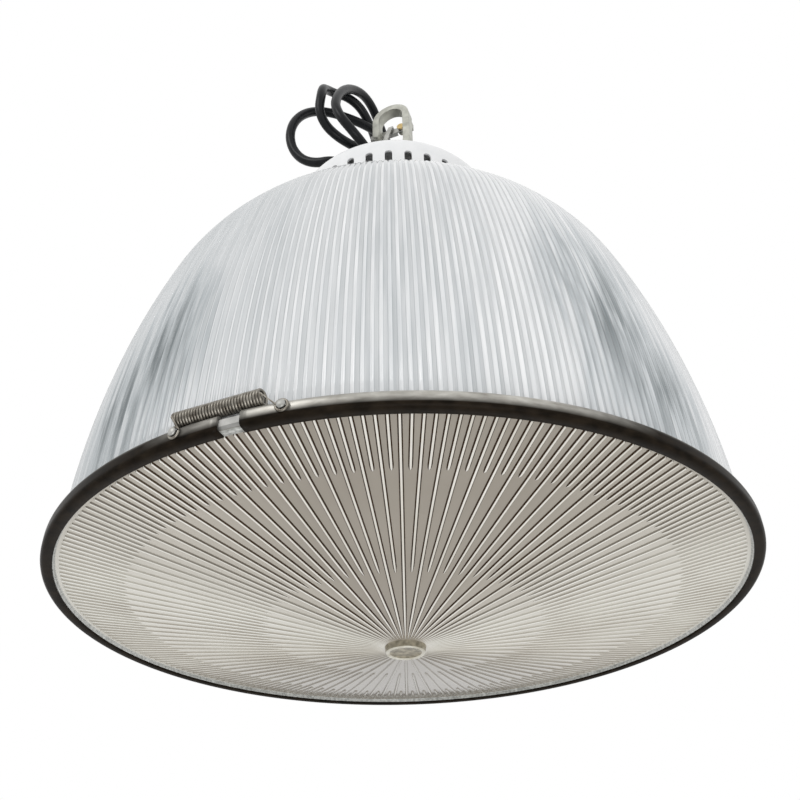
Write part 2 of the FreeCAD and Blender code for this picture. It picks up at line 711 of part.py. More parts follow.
def flat(u, w):
    """A point in the hook's own plane: u from tip to shank, w up."""
    return Vector(u, 0, w)


def jog_arcs(u, top, drop):
    """Two equal tangent arcs that bring the bar from u down to the axis within drop."""
    lean = math.atan2(u / 2, drop / 2)
    radius = math.hypot(u / 2, drop / 2) / (2 * math.sin(lean))
    first = Part.Arc(flat(u, top), flat(u - radius * (1 - math.cos(lean)), top - radius * math.sin(lean)),
                     flat(u / 2, top - drop / 2))
    second = Part.Arc(flat(u / 2, top - drop / 2),
                      flat(radius * (1 - math.cos(lean)), top - drop + radius * math.sin(lean)),
                      flat(0, top - drop))
    return [first.toShape(), second.toShape()]


def slab(face, back, front):
    """A face in the hook's plane thickened between two depths along +Y."""
    face = face.copy()
    face.translate(Vector(0, back, 0))
    return face.extrude(Vector(0, front - back, 0))


def make_hook():
    """A flat bar bent over the bearing point and jogged back to the axis, with a round stud below."""
    shank_end = -V["shank_drop"]
    jog_end = shank_end - V["jog_drop"]
    foot_end = jog_end - V["foot_drop"]
    lines = [Part.makeLine(flat(-BEND_REACH, BEND_LEVEL - V["tip_drop"]), flat(-BEND_REACH, BEND_LEVEL)),
             Part.Arc(flat(-BEND_REACH, BEND_LEVEL), flat(0, BEND_LEVEL + BEND_REACH),
                      flat(BEND_REACH, BEND_LEVEL)).toShape(),
             Part.makeLine(flat(BEND_REACH, BEND_LEVEL), flat(BEND_REACH, shank_end))]
    lines += jog_arcs(BEND_REACH, shank_end, V["jog_drop"])
    lines.append(Part.makeLine(flat(0, jog_end), flat(0, foot_end - V["hook_collar_height"] / 2)))
    bar = slab(Part.Wire(lines).makeOffset2D(V["bar_thick"] / 2, 0, True, False, False),
               -BAR_BACK, BAR_BACK)
    collar = Part.makeCylinder(V["hook_collar_radius"], V["hook_collar_height"],
                               Vector(0, 0, foot_end - V["hook_collar_height"]))
    stud_end = -V["hook_reach"] - V["hook_stud_below"]
    stud = Part.makeCylinder(V["hook_stud_radius"], foot_end - stud_end - 1.0, Vector(0, 0, stud_end))
    return bar.fuse([collar, stud, make_ear()])


def round_strip(u_round, u_square, level, half):
    """Outline of a strip in the hook's plane, round about u_round and square at u_square."""
    side = 1 if u_square > u_round else -1
    top, low = flat(u_round, level + half), flat(u_round, level - half)
    edges = [Part.Arc(top, flat(u_round - side * half, level), low).toShape(),
             Part.makeLine(low, flat(u_square, level - half)),
             Part.makeLine(flat(u_square, level - half), flat(u_square, level + half)),
             Part.makeLine(flat(u_square, level + half), top)]
    return Part.Face(Part.Wire(edges))


PIVOT_U, PIVOT_W = 7.0, -V["latch_lift"]
WEB_FRONT = BAR_BACK + V["latch_gap"]
WEB_BACK = WEB_FRONT + V["latch_sheet"]
EAR_FRONT = WEB_BACK + V["latch_gap"]
EAR_BACK = EAR_FRONT + 2.0


def make_ear():
    """The pivot plate welded to the back of the shank on a small spacer."""
    inner, outer = V["hook_bore"], V["hook_bore"] + V["bar_thick"]
    spacer = Part.makeBox(outer - inner, EAR_FRONT - BAR_BACK + 1.0, 8.0,
                          Vector(inner, BAR_BACK - 1.0, PIVOT_W - 4.0))
    plate = slab(round_strip(PIVOT_U, outer, PIVOT_W, 4.0), EAR_FRONT, EAR_BACK)
    bore = Part.makeCylinder(V["rivet_radius"], 20.0, Vector(PIVOT_U, 0, PIVOT_W), Vector(0, 1, 0))
    return spacer.fuse(plate).cut(bore)


feature("hook", make_hook(), ZERO, turn=HOOK_TURN)


def washer(radius, bore, thick, level):
    ring = Part.makeCylinder(radius, thick, Vector(0, 0, level))
    return ring.cut(Part.makeCylinder(bore, thick, Vector(0, 0, level)))


CROWN = -V["hook_reach"]
PLATE_TOP = CROWN - V["cap_sheet"]
WASHER_TOP = CROWN + V["hook_washer_thick"]
feature("hook_washer", washer(V["hook_washer_radius"], V["hook_stud_radius"],
                              V["hook_washer_thick"], CROWN), ZERO)
feature("hook_nut", hex_nut(V["hook_nut_flats"], V["hook_nut_height"], V["hook_stud_radius"],
                            Vector(0, 0, WASHER_TOP)), ZERO, turn=HOOK_TURN)
LOCK_TOP = PLATE_TOP - V["bracket_sheet"]
feature("hook_lock_nut", hex_nut(V["hook_nut_flats"], V["hook_nut_height"], V["hook_stud_radius"],
                                 Vector(0, 0, LOCK_TOP - V["hook_nut_height"])), ZERO)


# ---------------------------------------------------------------- latch
def make_latch():
    """A pressed channel across the throat behind the bar, with an arm folded over its top edge."""
    half = V["latch_height"] / 2
    far = -V["hook_bore"] - V["bar_thick"] - V["latch_overhang"]
    web = slab(round_strip(PIVOT_U, far, PIVOT_W, half), WEB_FRONT, WEB_BACK)
    sheet = V["latch_sheet"]
    flanges = [Part.makeBox(2.5 - far, 3.0 + sheet, sheet, Vector(far, WEB_FRONT, level))
               for level in (PIVOT_W - half, PIVOT_W + half - sheet)]
    arm_back, arm_front = BAR_BACK - sheet, BAR_BACK - 2 * sheet
    top, width = PIVOT_W + half, V["arm_width"]
    fold = Part.makeBox(width, WEB_BACK - arm_front, sheet, Vector(-2.5 - width / 2, arm_front, top - sheet))
    fold = fold.fuse(Part.makeBox(width, WEB_BACK - arm_front, sheet,
                                  Vector(-2.5 - width / 2, arm_front, top - 0.2)))
    lower = flat(-12.0, top + sheet - V["arm_length"] - 7.0)
    arm = Part.Face(Part.makePolygon([
        flat(-2.5 - width / 2, top + sheet - 0.2), lower - Vector(width / 2, 0, 0),
        lower + Vector(width / 2, 0, 0), flat(-2.5 + width / 2, top + sheet - 0.2),
        flat(-2.5 - width / 2, top + sheet - 0.2)]))
    bore = Part.makeCylinder(V["rivet_radius"] + 0.2, 20.0, Vector(PIVOT_U, 0, PIVOT_W), Vector(0, 1, 0))
    return web.fuse(flanges + [fold, slab(arm, arm_front, arm_back)]).cut(bore).removeSplitter()


feature("latch", make_latch(), ZERO, turn=HOOK_TURN)
COIL_LENGTH = 1.8
COIL_FRONT = WEB_FRONT - 0.1 - COIL_LENGTH


def along_pivot(radius, back, front):
    """A cylinder about the latch's pivot between two depths."""
    return Part.makeCylinder(radius, front - back, Vector(PIVOT_U, back, PIVOT_W), Vector(0, 1, 0))


def make_rivet():
    head = V["rivet_head_height"]
    shank = along_pivot(V["rivet_radius"], COIL_FRONT - head, EAR_BACK + head)
    return shank.fuse([along_pivot(V["rivet_head_radius"], COIL_FRONT - head, COIL_FRONT),
                       along_pivot(V["rivet_head_radius"], EAR_BACK, EAR_BACK + head)])


def make_latch_spring():
    """The coil on the pivot, with a leg that bears on the inside of the shank."""
    wire = V["latch_spring_wire"]
    coil = along_pivot(V["latch_spring_radius"], COIL_FRONT, COIL_FRONT + COIL_LENGTH)
    leg = Part.makeBox(V["hook_bore"] - PIVOT_U, wire, wire,
                       Vector(PIVOT_U, COIL_FRONT, PIVOT_W - V["latch_spring_radius"]))
    return coil.fuse(leg).cut(along_pivot(V["rivet_radius"], COIL_FRONT, COIL_FRONT + COIL_LENGTH))


feature("latch_rivet", make_rivet(), ZERO, turn=HOOK_TURN)
feature("latch_spring", make_latch_spring(), ZERO, turn=HOOK_TURN)


# ---------------------------------------------------------------- gland
GLAND_BORE = V["flex_radius"] + 0.2
GLAND_HEX_TOP = V["gland_hex_height"]
GLAND_NUT_BASE = GLAND_HEX_TOP + 0.5
GLAND_TOP = GLAND_NUT_BASE + V["gland_nut_height"]
GLAND_NECK_TOP = GLAND_HEX_TOP + V["gland_neck_height"]


def make_gland_body():
    base = Vector(0, 0, 0)
    foot = -V["gland_thread_below"]
    body = hex_nut(V["gland_flats"], GLAND_HEX_TOP, GLAND_BORE, base)
    neck = Part.makeCylinder(V["gland_neck_radius"], GLAND_NECK_TOP - foot, Vector(0, 0, foot))
    return body.fuse(neck).cut(Part.makeCylinder(GLAND_BORE, GLAND_NECK_TOP - foot, Vector(0, 0, foot)))


def make_gland_nut():
    """The domed clamping nut, with a ring of flats low down and a round shoulder."""
    bore, inner = V["gland_neck_radius"] + 0.1, V["flex_radius"] + 0.3
    outer, low, top = V["gland_flats"] / 2 - 0.5, GLAND_NUT_BASE, GLAND_TOP
    return turned([(bore, low), (outer, low), (outer, top - 5.0), (outer - 1.2, top - 2.2),
                   (outer - 3.6, top), (inner, top), (inner, top - 2.0), (bore, top - 4.0)])


def make_gland_seal():
    return washer(V["gland_neck_radius"] - 0.4, V["flex_radius"], GLAND_TOP - 4.0 - GLAND_NECK_TOP,
                  GLAND_NECK_TOP)


def at_gland(name, shape):
    return feature(name, shape, S["hook_reach"] * -1, S["gland_x"], S["gland_y"])


at_gland("gland_body", make_gland_body())
at_gland("gland_nut", make_gland_nut())
at_gland("gland_seal", make_gland_seal())
at_gland("gland_lock_nut", hex_nut(V["gland_flats"], V["gland_lock_height"], V["gland_neck_radius"],
                                   Vector(0, 0, -V["cap_sheet"] - V["gland_lock_height"])))


# ---------------------------------------------------------------- lampholder and its bracket
HOLDER_PINS = [(V["holder_screw_span"], 0.0), (-V["holder_screw_span"], 0.0)]
EARTH_PLACE = (-26.0, 4.0)
LEAD_PLACE, LEAD_HOLE = -22.0, 5.0


def make_bracket():
    """A strap bent to a C: top plate on the crown, one leg, and a bottom plate for the holder."""
    sheet, half = V["bracket_sheet"], V["bracket_width"] / 2
    drop, reach = V["bracket_height"], V["bracket_reach"]
    outer, bend = reach - 2.0, V["bracket_bend"]
    top_end, bottom_end = -20.0, -reach - 2.0
    corners = [(top_end, 0), (outer - bend, 0), (outer, -bend), (outer, bend - drop),
               (outer - bend, -drop), (bottom_end, -drop), (bottom_end, sheet - drop),
               (outer - bend, sheet - drop), (outer - sheet, bend - drop), (outer - sheet, -bend),
               (outer - bend, -sheet), (top_end, -sheet)]
    edges, count = [], len(corners)
    arcs = {1: (outer - bend, -bend, 45, bend), 3: (outer - bend, bend - drop, -45, bend),
            7: (outer - bend, bend - drop, -45, bend - sheet), 9: (outer - bend, -bend, 45, bend - sheet)}
    for index in range(count):
        a, b = flat(*corners[index]), flat(*corners[(index + 1) % count])
        if index in arcs:
            u, w, angle, radius = arcs[index]
            turn = math.radians(angle)
            mid = flat(u + radius * math.cos(turn), w + radius * math.sin(turn))
            edges.append(Part.Arc(a, mid, b).toShape())
        else:
            edges.append(Part.makeLine(a, b))
    strap = slab(Part.Face(Part.Wire(edges)), -half, half)
    holes = [Part.makeCylinder(V["hook_stud_radius"] + 0.3, 2 * sheet, Vector(0, 0, -1.5 * sheet))]
    holes += [Part.makeCylinder(2.0, 2 * sheet, Vector(x, y, -drop - sheet / 2))
              for x, y in HOLDER_PINS + [EARTH_PLACE]]
    return strap.cut(holes)


BRACKET_TOP = PLATE_TOP
SEAT = BRACKET_TOP - V["bracket_height"] + V["bracket_sheet"]
HOLDER_TOP = SEAT - V["bracket_sheet"]
feature("holder_bracket", make_bracket(), as_dim(BRACKET_TOP))


def make_holder():
    """A glazed porcelain cup, open below, with screw holes in its top."""
    outer, height, bore = V["holder_radius"], V["holder_height"], V["holder_bore"]
    floor = V["holder_depth"] - height
    cup = turned([(0, 0), (outer - 4, 0), (outer, -4), (outer, 3 - height), (outer - 3, -height),
                  (bore, -height), (bore, floor), (0, floor)])
    holes = [Part.makeCylinder(2.0, 12.0, Vector(x, y, -12.0)) for x, y in HOLDER_PINS]
    holes += [Part.makeCylinder(V["core_radius"], LEAD_HOLE,
                                Vector(side * V["pole_pitch"], LEAD_PLACE, -LEAD_HOLE))
              for side in (-1, 1)]
    return cup.cut(holes)


def pan_screw(x, y, seat, length, head=3.5, radius=2.0, rise=2.2):
    """A screw with a plain round head whose underside rests at seat."""
    shank = Part.makeCylinder(radius, length, Vector(x, y, seat - length))
    return shank.fuse(Part.makeCylinder(head, rise, Vector(x, y, seat)))


FLOOR = HOLDER_TOP - (V["holder_height"] - V["holder_depth"])
feature("holder_body", make_holder(), as_dim(HOLDER_TOP))
feature("holder_screws", Part.makeCompound([pan_screw(x, y, SEAT, V["bracket_sheet"] + 11.0)
                                            for x, y in HOLDER_PINS]), ZERO)
SHELL_TOP = S["contact_height"] * -1.2
place(revolve_body("screw_shell", [
    (S["holder_bore"] - S["shell_wall"], SHELL_TOP), (S["holder_bore"], SHELL_TOP),
    (S["holder_bore"], -S["holder_depth"] * 0.8),
    (S["holder_bore"] - S["shell_wall"], -S["holder_depth"] * 0.8)]), as_dim(FLOOR))
place(revolve_body("centre_contact", [
    (ZERO, ZERO), (S["contact_radius"], ZERO), (S["contact_radius"], -S["contact_height"] * 0.6),
    (S["contact_radius"] * 0.5, -S["contact_height"]), (ZERO, -S["contact_height"])]), as_dim(FLOOR))

# ---------------------------------------------------------------- terminal block
LEAD_LEVEL = SEAT + 8.0
CORE_INSET, POST_RADIUS = 3.0, 4.0
CORE_HOLE = V["core_radius"]
POLES = [-V["pole_pitch"], 0.0, V["pole_pitch"]]


def make_block():
    length, width, height = V["block_length"], V["block_width"], V["block_height"]
    block = Part.makeBox(length, width, height, Vector(-length / 2, -width / 2, SEAT))
    holes = [Part.makeCylinder(CORE_HOLE, 3.0, Vector(x, side * width / 2, LEAD_LEVEL),
                               Vector(0, -side, 0))
             for x in POLES for side in (1, -1) if x or side > 0]
    holes.append(Part.makeCylinder(CORE_HOLE, 3.0, Vector(-length / 2, EARTH_PLACE[1], LEAD_LEVEL),
                                   Vector(1, 0, 0)))
    wells = [Part.makeCylinder(1.6, 3.0, Vector(x, y, SEAT + height - 3.0)) for x, y in CLAMPS]
    return block.cut(holes + wells)


CLAMPS = [(x, y) for x in POLES for y in (-4.5, 2.5)]
feature("terminal_block", make_block(), ZERO)
feature("terminal_screws", Part.makeCompound([
    Part.makeCylinder(1.6, 3.4, Vector(x, y, SEAT + V["block_height"] - 3.0)) for x, y in CLAMPS]), ZERO)


def make_earth_screw():
    """The earth terminal: a post fixed through the bottom plate, with a clamping screw on top."""
    x, y = EARTH_PLACE
    post = pan_screw(x, y, SEAT, V["bracket_sheet"], POST_RADIUS, rise=12.0)
    bore = Part.makeCylinder(CORE_HOLE, CORE_INSET + 1.0,
                             Vector(x + POST_RADIUS - CORE_INSET, y, LEAD_LEVEL), Vector(1, 0, 0))
    return post.cut(bore).fuse(Part.makeCylinder(2.6, 1.6, Vector(x, y, SEAT + 12.0)))


feature("earth_screw", make_earth_screw(), ZERO)


# ---------------------------------------------------------------- wires and flex
def tube(name, points, radius):
    """A round wire along straight runs joined by tangent arcs.

    At each corner the arc's radius is 0.45 of the shorter run over the tangent of half the turn.
    """
    points = [Vector(p) for p in points]
    at, heading = points[0], (points[1] - points[0]).normalize()
    ring = Part.makeCircle(radius, at, heading)
    faces, radii, length = [Part.Face(Part.Wire(ring))], [], 0.0
    for a, b, c in zip(points, points[1:], points[2:]):
        into, out = b - a, c - b
        half = into.getAngle(out) / 2
        back = 0.45 * min(into.Length, out.Length)
        entry = b - into.normalize() * back
        bend = back / math.tan(half)
        axis = into.cross(out).normalize()
        centre = entry + axis.cross(into) * bend
        faces.append(ring.extrude(entry - at))
        ring.translate(entry - at)
        faces.append(ring.revolve(centre, axis, math.degrees(2 * half)))
        ring.rotate(centre, axis, math.degrees(2 * half))
        length += (entry - at).Length + 2 * half * bend
        at = b + out.normalize() * back
        radii.append(bend)
    faces.append(ring.extrude(points[-1] - at))
    ring.translate(points[-1] - at)
    faces.append(Part.Face(Part.Wire(ring)))
    length += (points[-1] - at).Length
    solid = sewn_solid(faces)
    print(f"{name}: length {length:.1f} mm, least radius {min(radii):.1f} mm,",
          f"volume over section by length {solid.Volume / (length * math.pi * radius ** 2):.4f}")
    return solid


def make_lead(pole):
    """From the block over the plate's edge into the top of the holder."""
    start = CORE_INSET - V["block_width"] / 2
    return tube("lead", [(pole, start, LEAD_LEVEL), (pole, LEAD_PLACE + 7.4, LEAD_LEVEL),
                         (pole, LEAD_PLACE, LEAD_LEVEL - 7.4), (pole, LEAD_PLACE, HOLDER_TOP - LEAD_HOLE)],
                V["core_radius"])


feature("lead_live", make_lead(POLES[2]), ZERO)
feature("lead_neutral", make_lead(POLES[0]), ZERO)
EARTH_RUN = EARTH_PLACE[0] + POST_RADIUS - CORE_INSET
feature("lead_earth", Part.makeCylinder(
    V["core_radius"], CORE_INSET - V["block_length"] / 2 - EARTH_RUN,
    Vector(EARTH_RUN, EARTH_PLACE[1], LEAD_LEVEL), Vector(1, 0, 0)), ZERO)

TAIL_END = CROWN - V["gland_thread_below"] - 3.0
TAIL_SPREAD = 1.3


def make_tail_cores():
    """Three cores from the end of the jacket to the block."""
    x, y = V["gland_x"], V["gland_y"]
    cores = []
    for pole, angle in zip(POLES, (210.0, 90.0, 330.0)):
        turn = math.radians(angle)
        u, v = x + TAIL_SPREAD * math.cos(turn), y + TAIL_SPREAD * math.sin(turn)
        cores.append(tube("tail core", [
            (u, v, TAIL_END), (u, v, TAIL_END - 10.0), (pole, V["block_width"] / 2 + 6.0, LEAD_LEVEL),
            (pole, V["block_width"] / 2 - CORE_INSET, LEAD_LEVEL)], V["core_radius"]))
    return Part.makeCompound(cores)


feature("tail_cores", make_tail_cores(), ZERO)
JACKET_TOP = CROWN + GLAND_TOP
feature("flex_tail", Part.makeCylinder(V["flex_radius"], JACKET_TOP - TAIL_END,
                                       Vector(V["gland_x"], V["gland_y"], TAIL_END)), ZERO)

# The flex: up from the gland, over to the left, three loose loops, then down behind the hook.
FLEX_START = (V["gland_x"], V["gland_y"], JACKET_TOP)
FLEX_POINTS = [
    (-12.0, 28.0, -78.1), (-8.2, 25.2, -64.4), (-3.2, 22.4, -51.0),
    (0.0, 21.4, -36.8), (-1.2, 22.0, -22.4), (-6.9, 22.2, -9.0), (-15.6, 20.7, 2.6),
    (-27.4, 19.0, 11.1), (-40.5, 16.1, 16.7), (-54.2, 11.5, 18.5), (-67.2, 5.9, 15.2),
    (-77.9, 0.8, 6.7), (-85.8, -2.8, -5.0), (-91.1, -4.0, -18.6), (-92.9, -2.2, -32.9),
    (-89.9, 1.5, -46.6), (-81.3, 3.6, -58.3), (-68.8, 2.1, -65.6), (-54.6, -1.4, -66.5),
    (-40.3, 2.2, -68.0), (-29.4, 12.1, -70.2), (-24.4, 25.9, -72.4), (-26.4, 40.5, -73.4),
    (-30.8, 54.6, -71.6), (-34.0, 67.0, -64.1), (-35.1, 74.8, -51.7), (-34.1, 76.3, -37.0),
    (-31.8, 70.9, -23.5), (-28.6, 60.0, -14.2), (-25.6, 46.0, -11.2), (-23.5, 32.0, -15.1),
    (-23.6, 21.0, -24.8), (-28.4, 11.8, -35.3), (-38.1, 2.2, -40.7), (-50.0, -6.5, -39.5),
    (-60.4, -13.4, -31.6), (-65.3, -19.8, -19.3), (-63.5, -24.5, -5.5), (-62.7, -22.3, 8.8),
    (-61.0, -13.9, 20.5), (-53.9, -4.0, 28.3), (-41.8, 3.2, 32.3), (-30.8, 12.4, 29.8),
    (-23.5, 21.8, 21.4), (-18.4, 28.9, 9.6), (-15.0, 32.3, -4.2), (-13.3, 32.2, -18.8),
    (-13.1, 28.4, -32.9), (-13.9, 21.0, -45.5), (-16.0, 10.2, -55.2), (-20.1, -2.7, -60.7),
    (-26.9, -15.6, -60.9), (-36.0, -25.6, -55.3), (-44.9, -30.7, -44.9), (-49.5, -31.5, -31.1),
    (-49.1, -29.3, -16.6), (-46.6, -25.1, -2.8), (-43.3, -19.4, 10.2), (-39.1, -12.3, 22.3),
    (-33.4, -3.6, 32.6), (-26.3, 7.1, 39.6), (-19.5, 19.9, 40.7), (-14.1, 32.3, 35.0),
    (-9.2, 40.8, 24.3), (-5.1, 44.9, 10.8), (-2.5, 45.7, -3.5), (-1.2, 44.7, -18.1),
    (-0.8, 43.3, -32.6), (-0.6, 42.2, -47.2), (-0.1, 41.8, -61.8), (0.8, 42.0, -76.4),
    (2.2, 42.8, -90.4),
]
FREE_CORE = 10.0


def make_flex_cores():
    """The stripped ends of the three cores beyond the jacket's free end."""
    end, before = Vector(FLEX_POINTS[-1]), Vector(FLEX_POINTS[-2])
    along = (end - before).normalize()
    side = along.cross(Vector(0, 1, 0)).normalize()
    across = along.cross(side)
    cores = []
    for angle in (90.0, 210.0, 330.0):
        turn = math.radians(angle)
        foot = end + (side * math.cos(turn) + across * math.sin(turn)) * TAIL_SPREAD
        cores.append(Part.makeCylinder(V["core_radius"], FREE_CORE, foot, along))
    return Part.makeCompound(cores)


feature("flex", tube("flex", [FLEX_START] + FLEX_POINTS, V["flex_radius"]), ZERO)
feature("flex_cores", make_flex_cores(), ZERO)


# ---------------------------------------------------------------- checks and export
doc.recompute()
for obj in doc.Objects:
    if set(obj.State) & {"Invalid", "Error"}:
        raise RuntimeError(f"{obj.Name} is not built: {obj.State}")
for obj in NODES:
    if obj.Shape.isNull() or not obj.Shape.isValid() or not obj.Shape.Solids:
        raise RuntimeError(f"{obj.Label} has no valid solid")
os.makedirs("parts", exist_ok=True)
for obj in NODES:
    obj.Shape.exportStep(f"parts/{obj.Label}.step")
print(len(NODES), "sub-parts written")
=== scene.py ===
"""High bay pendant light: studio view from below, with the finishes and fine shapes of each piece."""
import math

import bpy
from mathutils import Matrix, Vector


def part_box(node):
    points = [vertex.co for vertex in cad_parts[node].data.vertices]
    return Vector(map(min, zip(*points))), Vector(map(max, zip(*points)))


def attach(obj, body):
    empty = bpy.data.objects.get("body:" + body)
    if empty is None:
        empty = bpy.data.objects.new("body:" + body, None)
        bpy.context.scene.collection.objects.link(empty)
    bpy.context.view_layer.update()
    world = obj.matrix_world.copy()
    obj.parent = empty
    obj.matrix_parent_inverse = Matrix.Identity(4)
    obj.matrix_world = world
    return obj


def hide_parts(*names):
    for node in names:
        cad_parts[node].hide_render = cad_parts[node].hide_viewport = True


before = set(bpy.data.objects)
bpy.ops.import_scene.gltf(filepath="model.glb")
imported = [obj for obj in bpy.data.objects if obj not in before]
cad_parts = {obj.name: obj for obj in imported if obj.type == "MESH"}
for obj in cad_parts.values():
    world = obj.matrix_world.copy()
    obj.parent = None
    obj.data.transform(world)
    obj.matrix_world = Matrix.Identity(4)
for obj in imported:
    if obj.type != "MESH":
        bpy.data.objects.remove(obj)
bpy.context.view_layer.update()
BODY = "light"

# ---------------------------------------------------------------- levels and sizes, some read from the dome in model.glb
DOME_LOW, DOME_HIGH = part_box("dome")
RIM = DOME_LOW[2]
NECK_TOP = DOME_HIGH[2]
DOME_HEIGHT = NECK_TOP - RIM
FLANGE_R = DOME_HIGH[0]
DOME_LIP, DOME_WALL, DOME_FLANGE = 0.0043, 0.0034, 0.0027
DOME_R = FLANGE_R - DOME_LIP
NECK_R = 0.076
SEAL_AND_LENS = 0.0034
LENS_BACK = RIM - SEAL_AND_LENS


def polar(radius, azimuth, height):
    """A point at an azimuth in radians, counted from the front (-Y) towards +X."""
    return Vector((radius * math.sin(azimuth), -radius * math.cos(azimuth), height))


# ---------------------------------------------------------------- camera
FOCAL_PX, FRAME_PX, SENSOR_MM = 850.0, 800.0, 36.0
CAMERA_PLACE = Vector((0.0, -0.48433, -0.67679))
ELEVATION, YAW, ROLL = (math.radians(a) for a in (35.797, 0.058, -1.503))


def aim_camera():
    forward = Vector((math.sin(YAW) * math.cos(ELEVATION), math.cos(YAW) * math.cos(ELEVATION),
                      math.sin(ELEVATION)))
    level = Vector((math.cos(YAW), -math.sin(YAW), 0.0))
    rise = level.cross(forward)
    right = level * math.cos(ROLL) + rise * math.sin(ROLL)
    up = rise * math.cos(ROLL) - level * math.sin(ROLL)
    data = bpy.data.cameras.new("camera")
    data.sensor_width = SENSOR_MM
    data.lens = FOCAL_PX * SENSOR_MM / FRAME_PX
    data.clip_start, data.clip_end = 0.01, 50.0
    camera = bpy.data.objects.new("camera", data)
    turn = Matrix((right, up, -forward)).transposed().to_4x4()
    camera.matrix_world = Matrix.Translation(CAMERA_PLACE) @ turn
    bpy.context.scene.collection.objects.link(camera)
    bpy.context.scene.camera = camera


aim_camera()


# ---------------------------------------------------------------- materials
class Finish:
    """A node material: keeps the tree and its principled shader at hand."""

    def __init__(self, name, **values):
        self.material = bpy.data.materials.new(name)
        self.material.use_nodes = True
        self.tree = self.material.node_tree
        self.shader = self.tree.nodes["Principled BSDF"]
        for key, value in values.items():
            self.shader.inputs[key.replace("_", " ")].default_value = value

    def node(self, kind, **inputs):
        made = self.tree.nodes.new(kind)
        for key, value in inputs.items():
            socket = made.inputs[key]
            if hasattr(value, "is_output"):
                self.tree.links.new(value, socket)
            else:
                socket.default_value = value
        return made

    def link(self, output, socket):
        self.tree.links.new(output, self.shader.inputs[socket])

    def math(self, operation, *values):
        made = self.tree.nodes.new("ShaderNodeMath")
        made.operation = operation
        for index, value in enumerate(values):
            if hasattr(value, "is_output"):
                self.tree.links.new(value, made.inputs[index])
            else:
                made.inputs[index].default_value = value
        return made.outputs[0]

    def mix(self, fac, first, second, blend="MIX"):
        made = self.tree.nodes.new("ShaderNodeMix")
        made.data_type, made.blend_type = "RGBA", blend
        for socket, value in ((0, fac), (6, first), (7, second)):
            if hasattr(value, "is_output"):
                self.tree.links.new(value, made.inputs[socket])
            else:
                made.inputs[socket].default_value = value if socket == 0 else (*value, 1.0)
        return made.outputs[2]

    def spread(self, value, start=0.0, end=1.0, low=0.0, high=1.0):
        """Carry start..end over to low..high and hold the ends."""
        return self.node("ShaderNodeMapRange", Value=value, **{
            "From Min": start, "From Max": end, "To Min": low, "To Max": high}).outputs["Result"]

    def noise(self, scale, detail=4.0, stretch=None):
        place = self.node("ShaderNodeTexCoord").outputs["Object"]
        if stretch:
            mapping = self.node("ShaderNodeMapping", Scale=stretch)
            self.tree.links.new(place, mapping.inputs["Vector"])
            place = mapping.outputs["Vector"]
        made = self.node("ShaderNodeTexNoise", Scale=scale, Detail=detail)
        self.tree.links.new(place, made.inputs["Vector"])
        return made.outputs["Fac"]

    def ramp(self, fac, *stops):
        made = self.tree.nodes.new("ShaderNodeValToRGB")
        self.tree.links.new(fac, made.inputs["Fac"])
        elements = made.color_ramp.elements
        while len(elements) < len(stops):
            elements.new(0.5)
        for element, (place, colour) in zip(elements, stops):
            element.position = place
            element.color = (*colour, 1.0)
        return made.outputs["Color"]

    def bump(self, height, strength, distance, edge=0.0):
        made = self.node("ShaderNodeBump", Strength=strength, Distance=distance)
        self.tree.links.new(height, made.inputs["Height"])
        if edge:
            bevel = self.tree.nodes.new("ShaderNodeBevel")
            bevel.samples = 4
            bevel.inputs["Radius"].default_value = edge
            self.tree.links.new(bevel.outputs["Normal"], made.inputs["Normal"])
        self.link(made.outputs["Normal"], "Normal")

    def mottle(self, scale, low, high, bump=0.1, distance=0.0002, edge=0.0, rough=None):
        """Colour that wanders between two tones, with a fine bump from the same noise."""
        fac = self.noise(scale, 5.0)
        self.link(self.ramp(fac, (0.3, low), (0.7, high)), "Base Color")
        if rough:
            self.link(self.spread(fac, low=rough[0], high=rough[1]), "Roughness")
        self.bump(fac, bump, distance, edge)
        return self.material


def wrap_angle(finish, count):
    """Position across one of count equal sectors about the lamp's axis, 0 to 1, sector middles at 0.5."""
    place = finish.node("ShaderNodeSeparateXYZ")
    finish.tree.links.new(finish.node("ShaderNodeTexCoord").outputs["Object"], place.inputs[0])
    angle = finish.math("ARCTAN2", place.outputs["X"], finish.math("MULTIPLY", place.outputs["Y"], -1.0))
    turns = finish.math("MULTIPLY", angle, count / (2 * math.pi))
    return finish.math("FRACT", finish.math("ADD", turns, 0.5)), place.outputs["Z"]


def around_axis(finish):
    """X and Y of the level direction away from the lamp's axis, the same along each radius."""
    flat = finish.tree.nodes.new("ShaderNodeMapping")
    flat.inputs["Scale"].default_value = (1.0, 1.0, 0.0)
    finish.tree.links.new(finish.node("ShaderNodeTexCoord").outputs["Object"], flat.inputs["Vector"])
    around = finish.tree.nodes.new("ShaderNodeVectorMath")
    around.operation = "NORMALIZE"
    finish.tree.links.new(flat.outputs["Vector"], around.inputs[0])
    axes = finish.node("ShaderNodeSeparateXYZ")
    finish.tree.links.new(around.outputs[0], axes.inputs[0])
    return axes


def front_to_back(finish):
    """0 at the front of the lamp, 0.5 at its sides and 1 at its back."""
    return finish.math("MULTIPLY_ADD", around_axis(finish).outputs["Y"], 0.5, 0.5)


def zinc(name, low=(0.36, 0.36, 0.32), high=(0.56, 0.56, 0.5), edge=0.0006):
    return Finish(name, Metallic=0.75, Roughness=0.42).mottle(
        140.0, low, high, bump=0.12, edge=edge, rough=(0.34, 0.55))


MATERIALS = {}


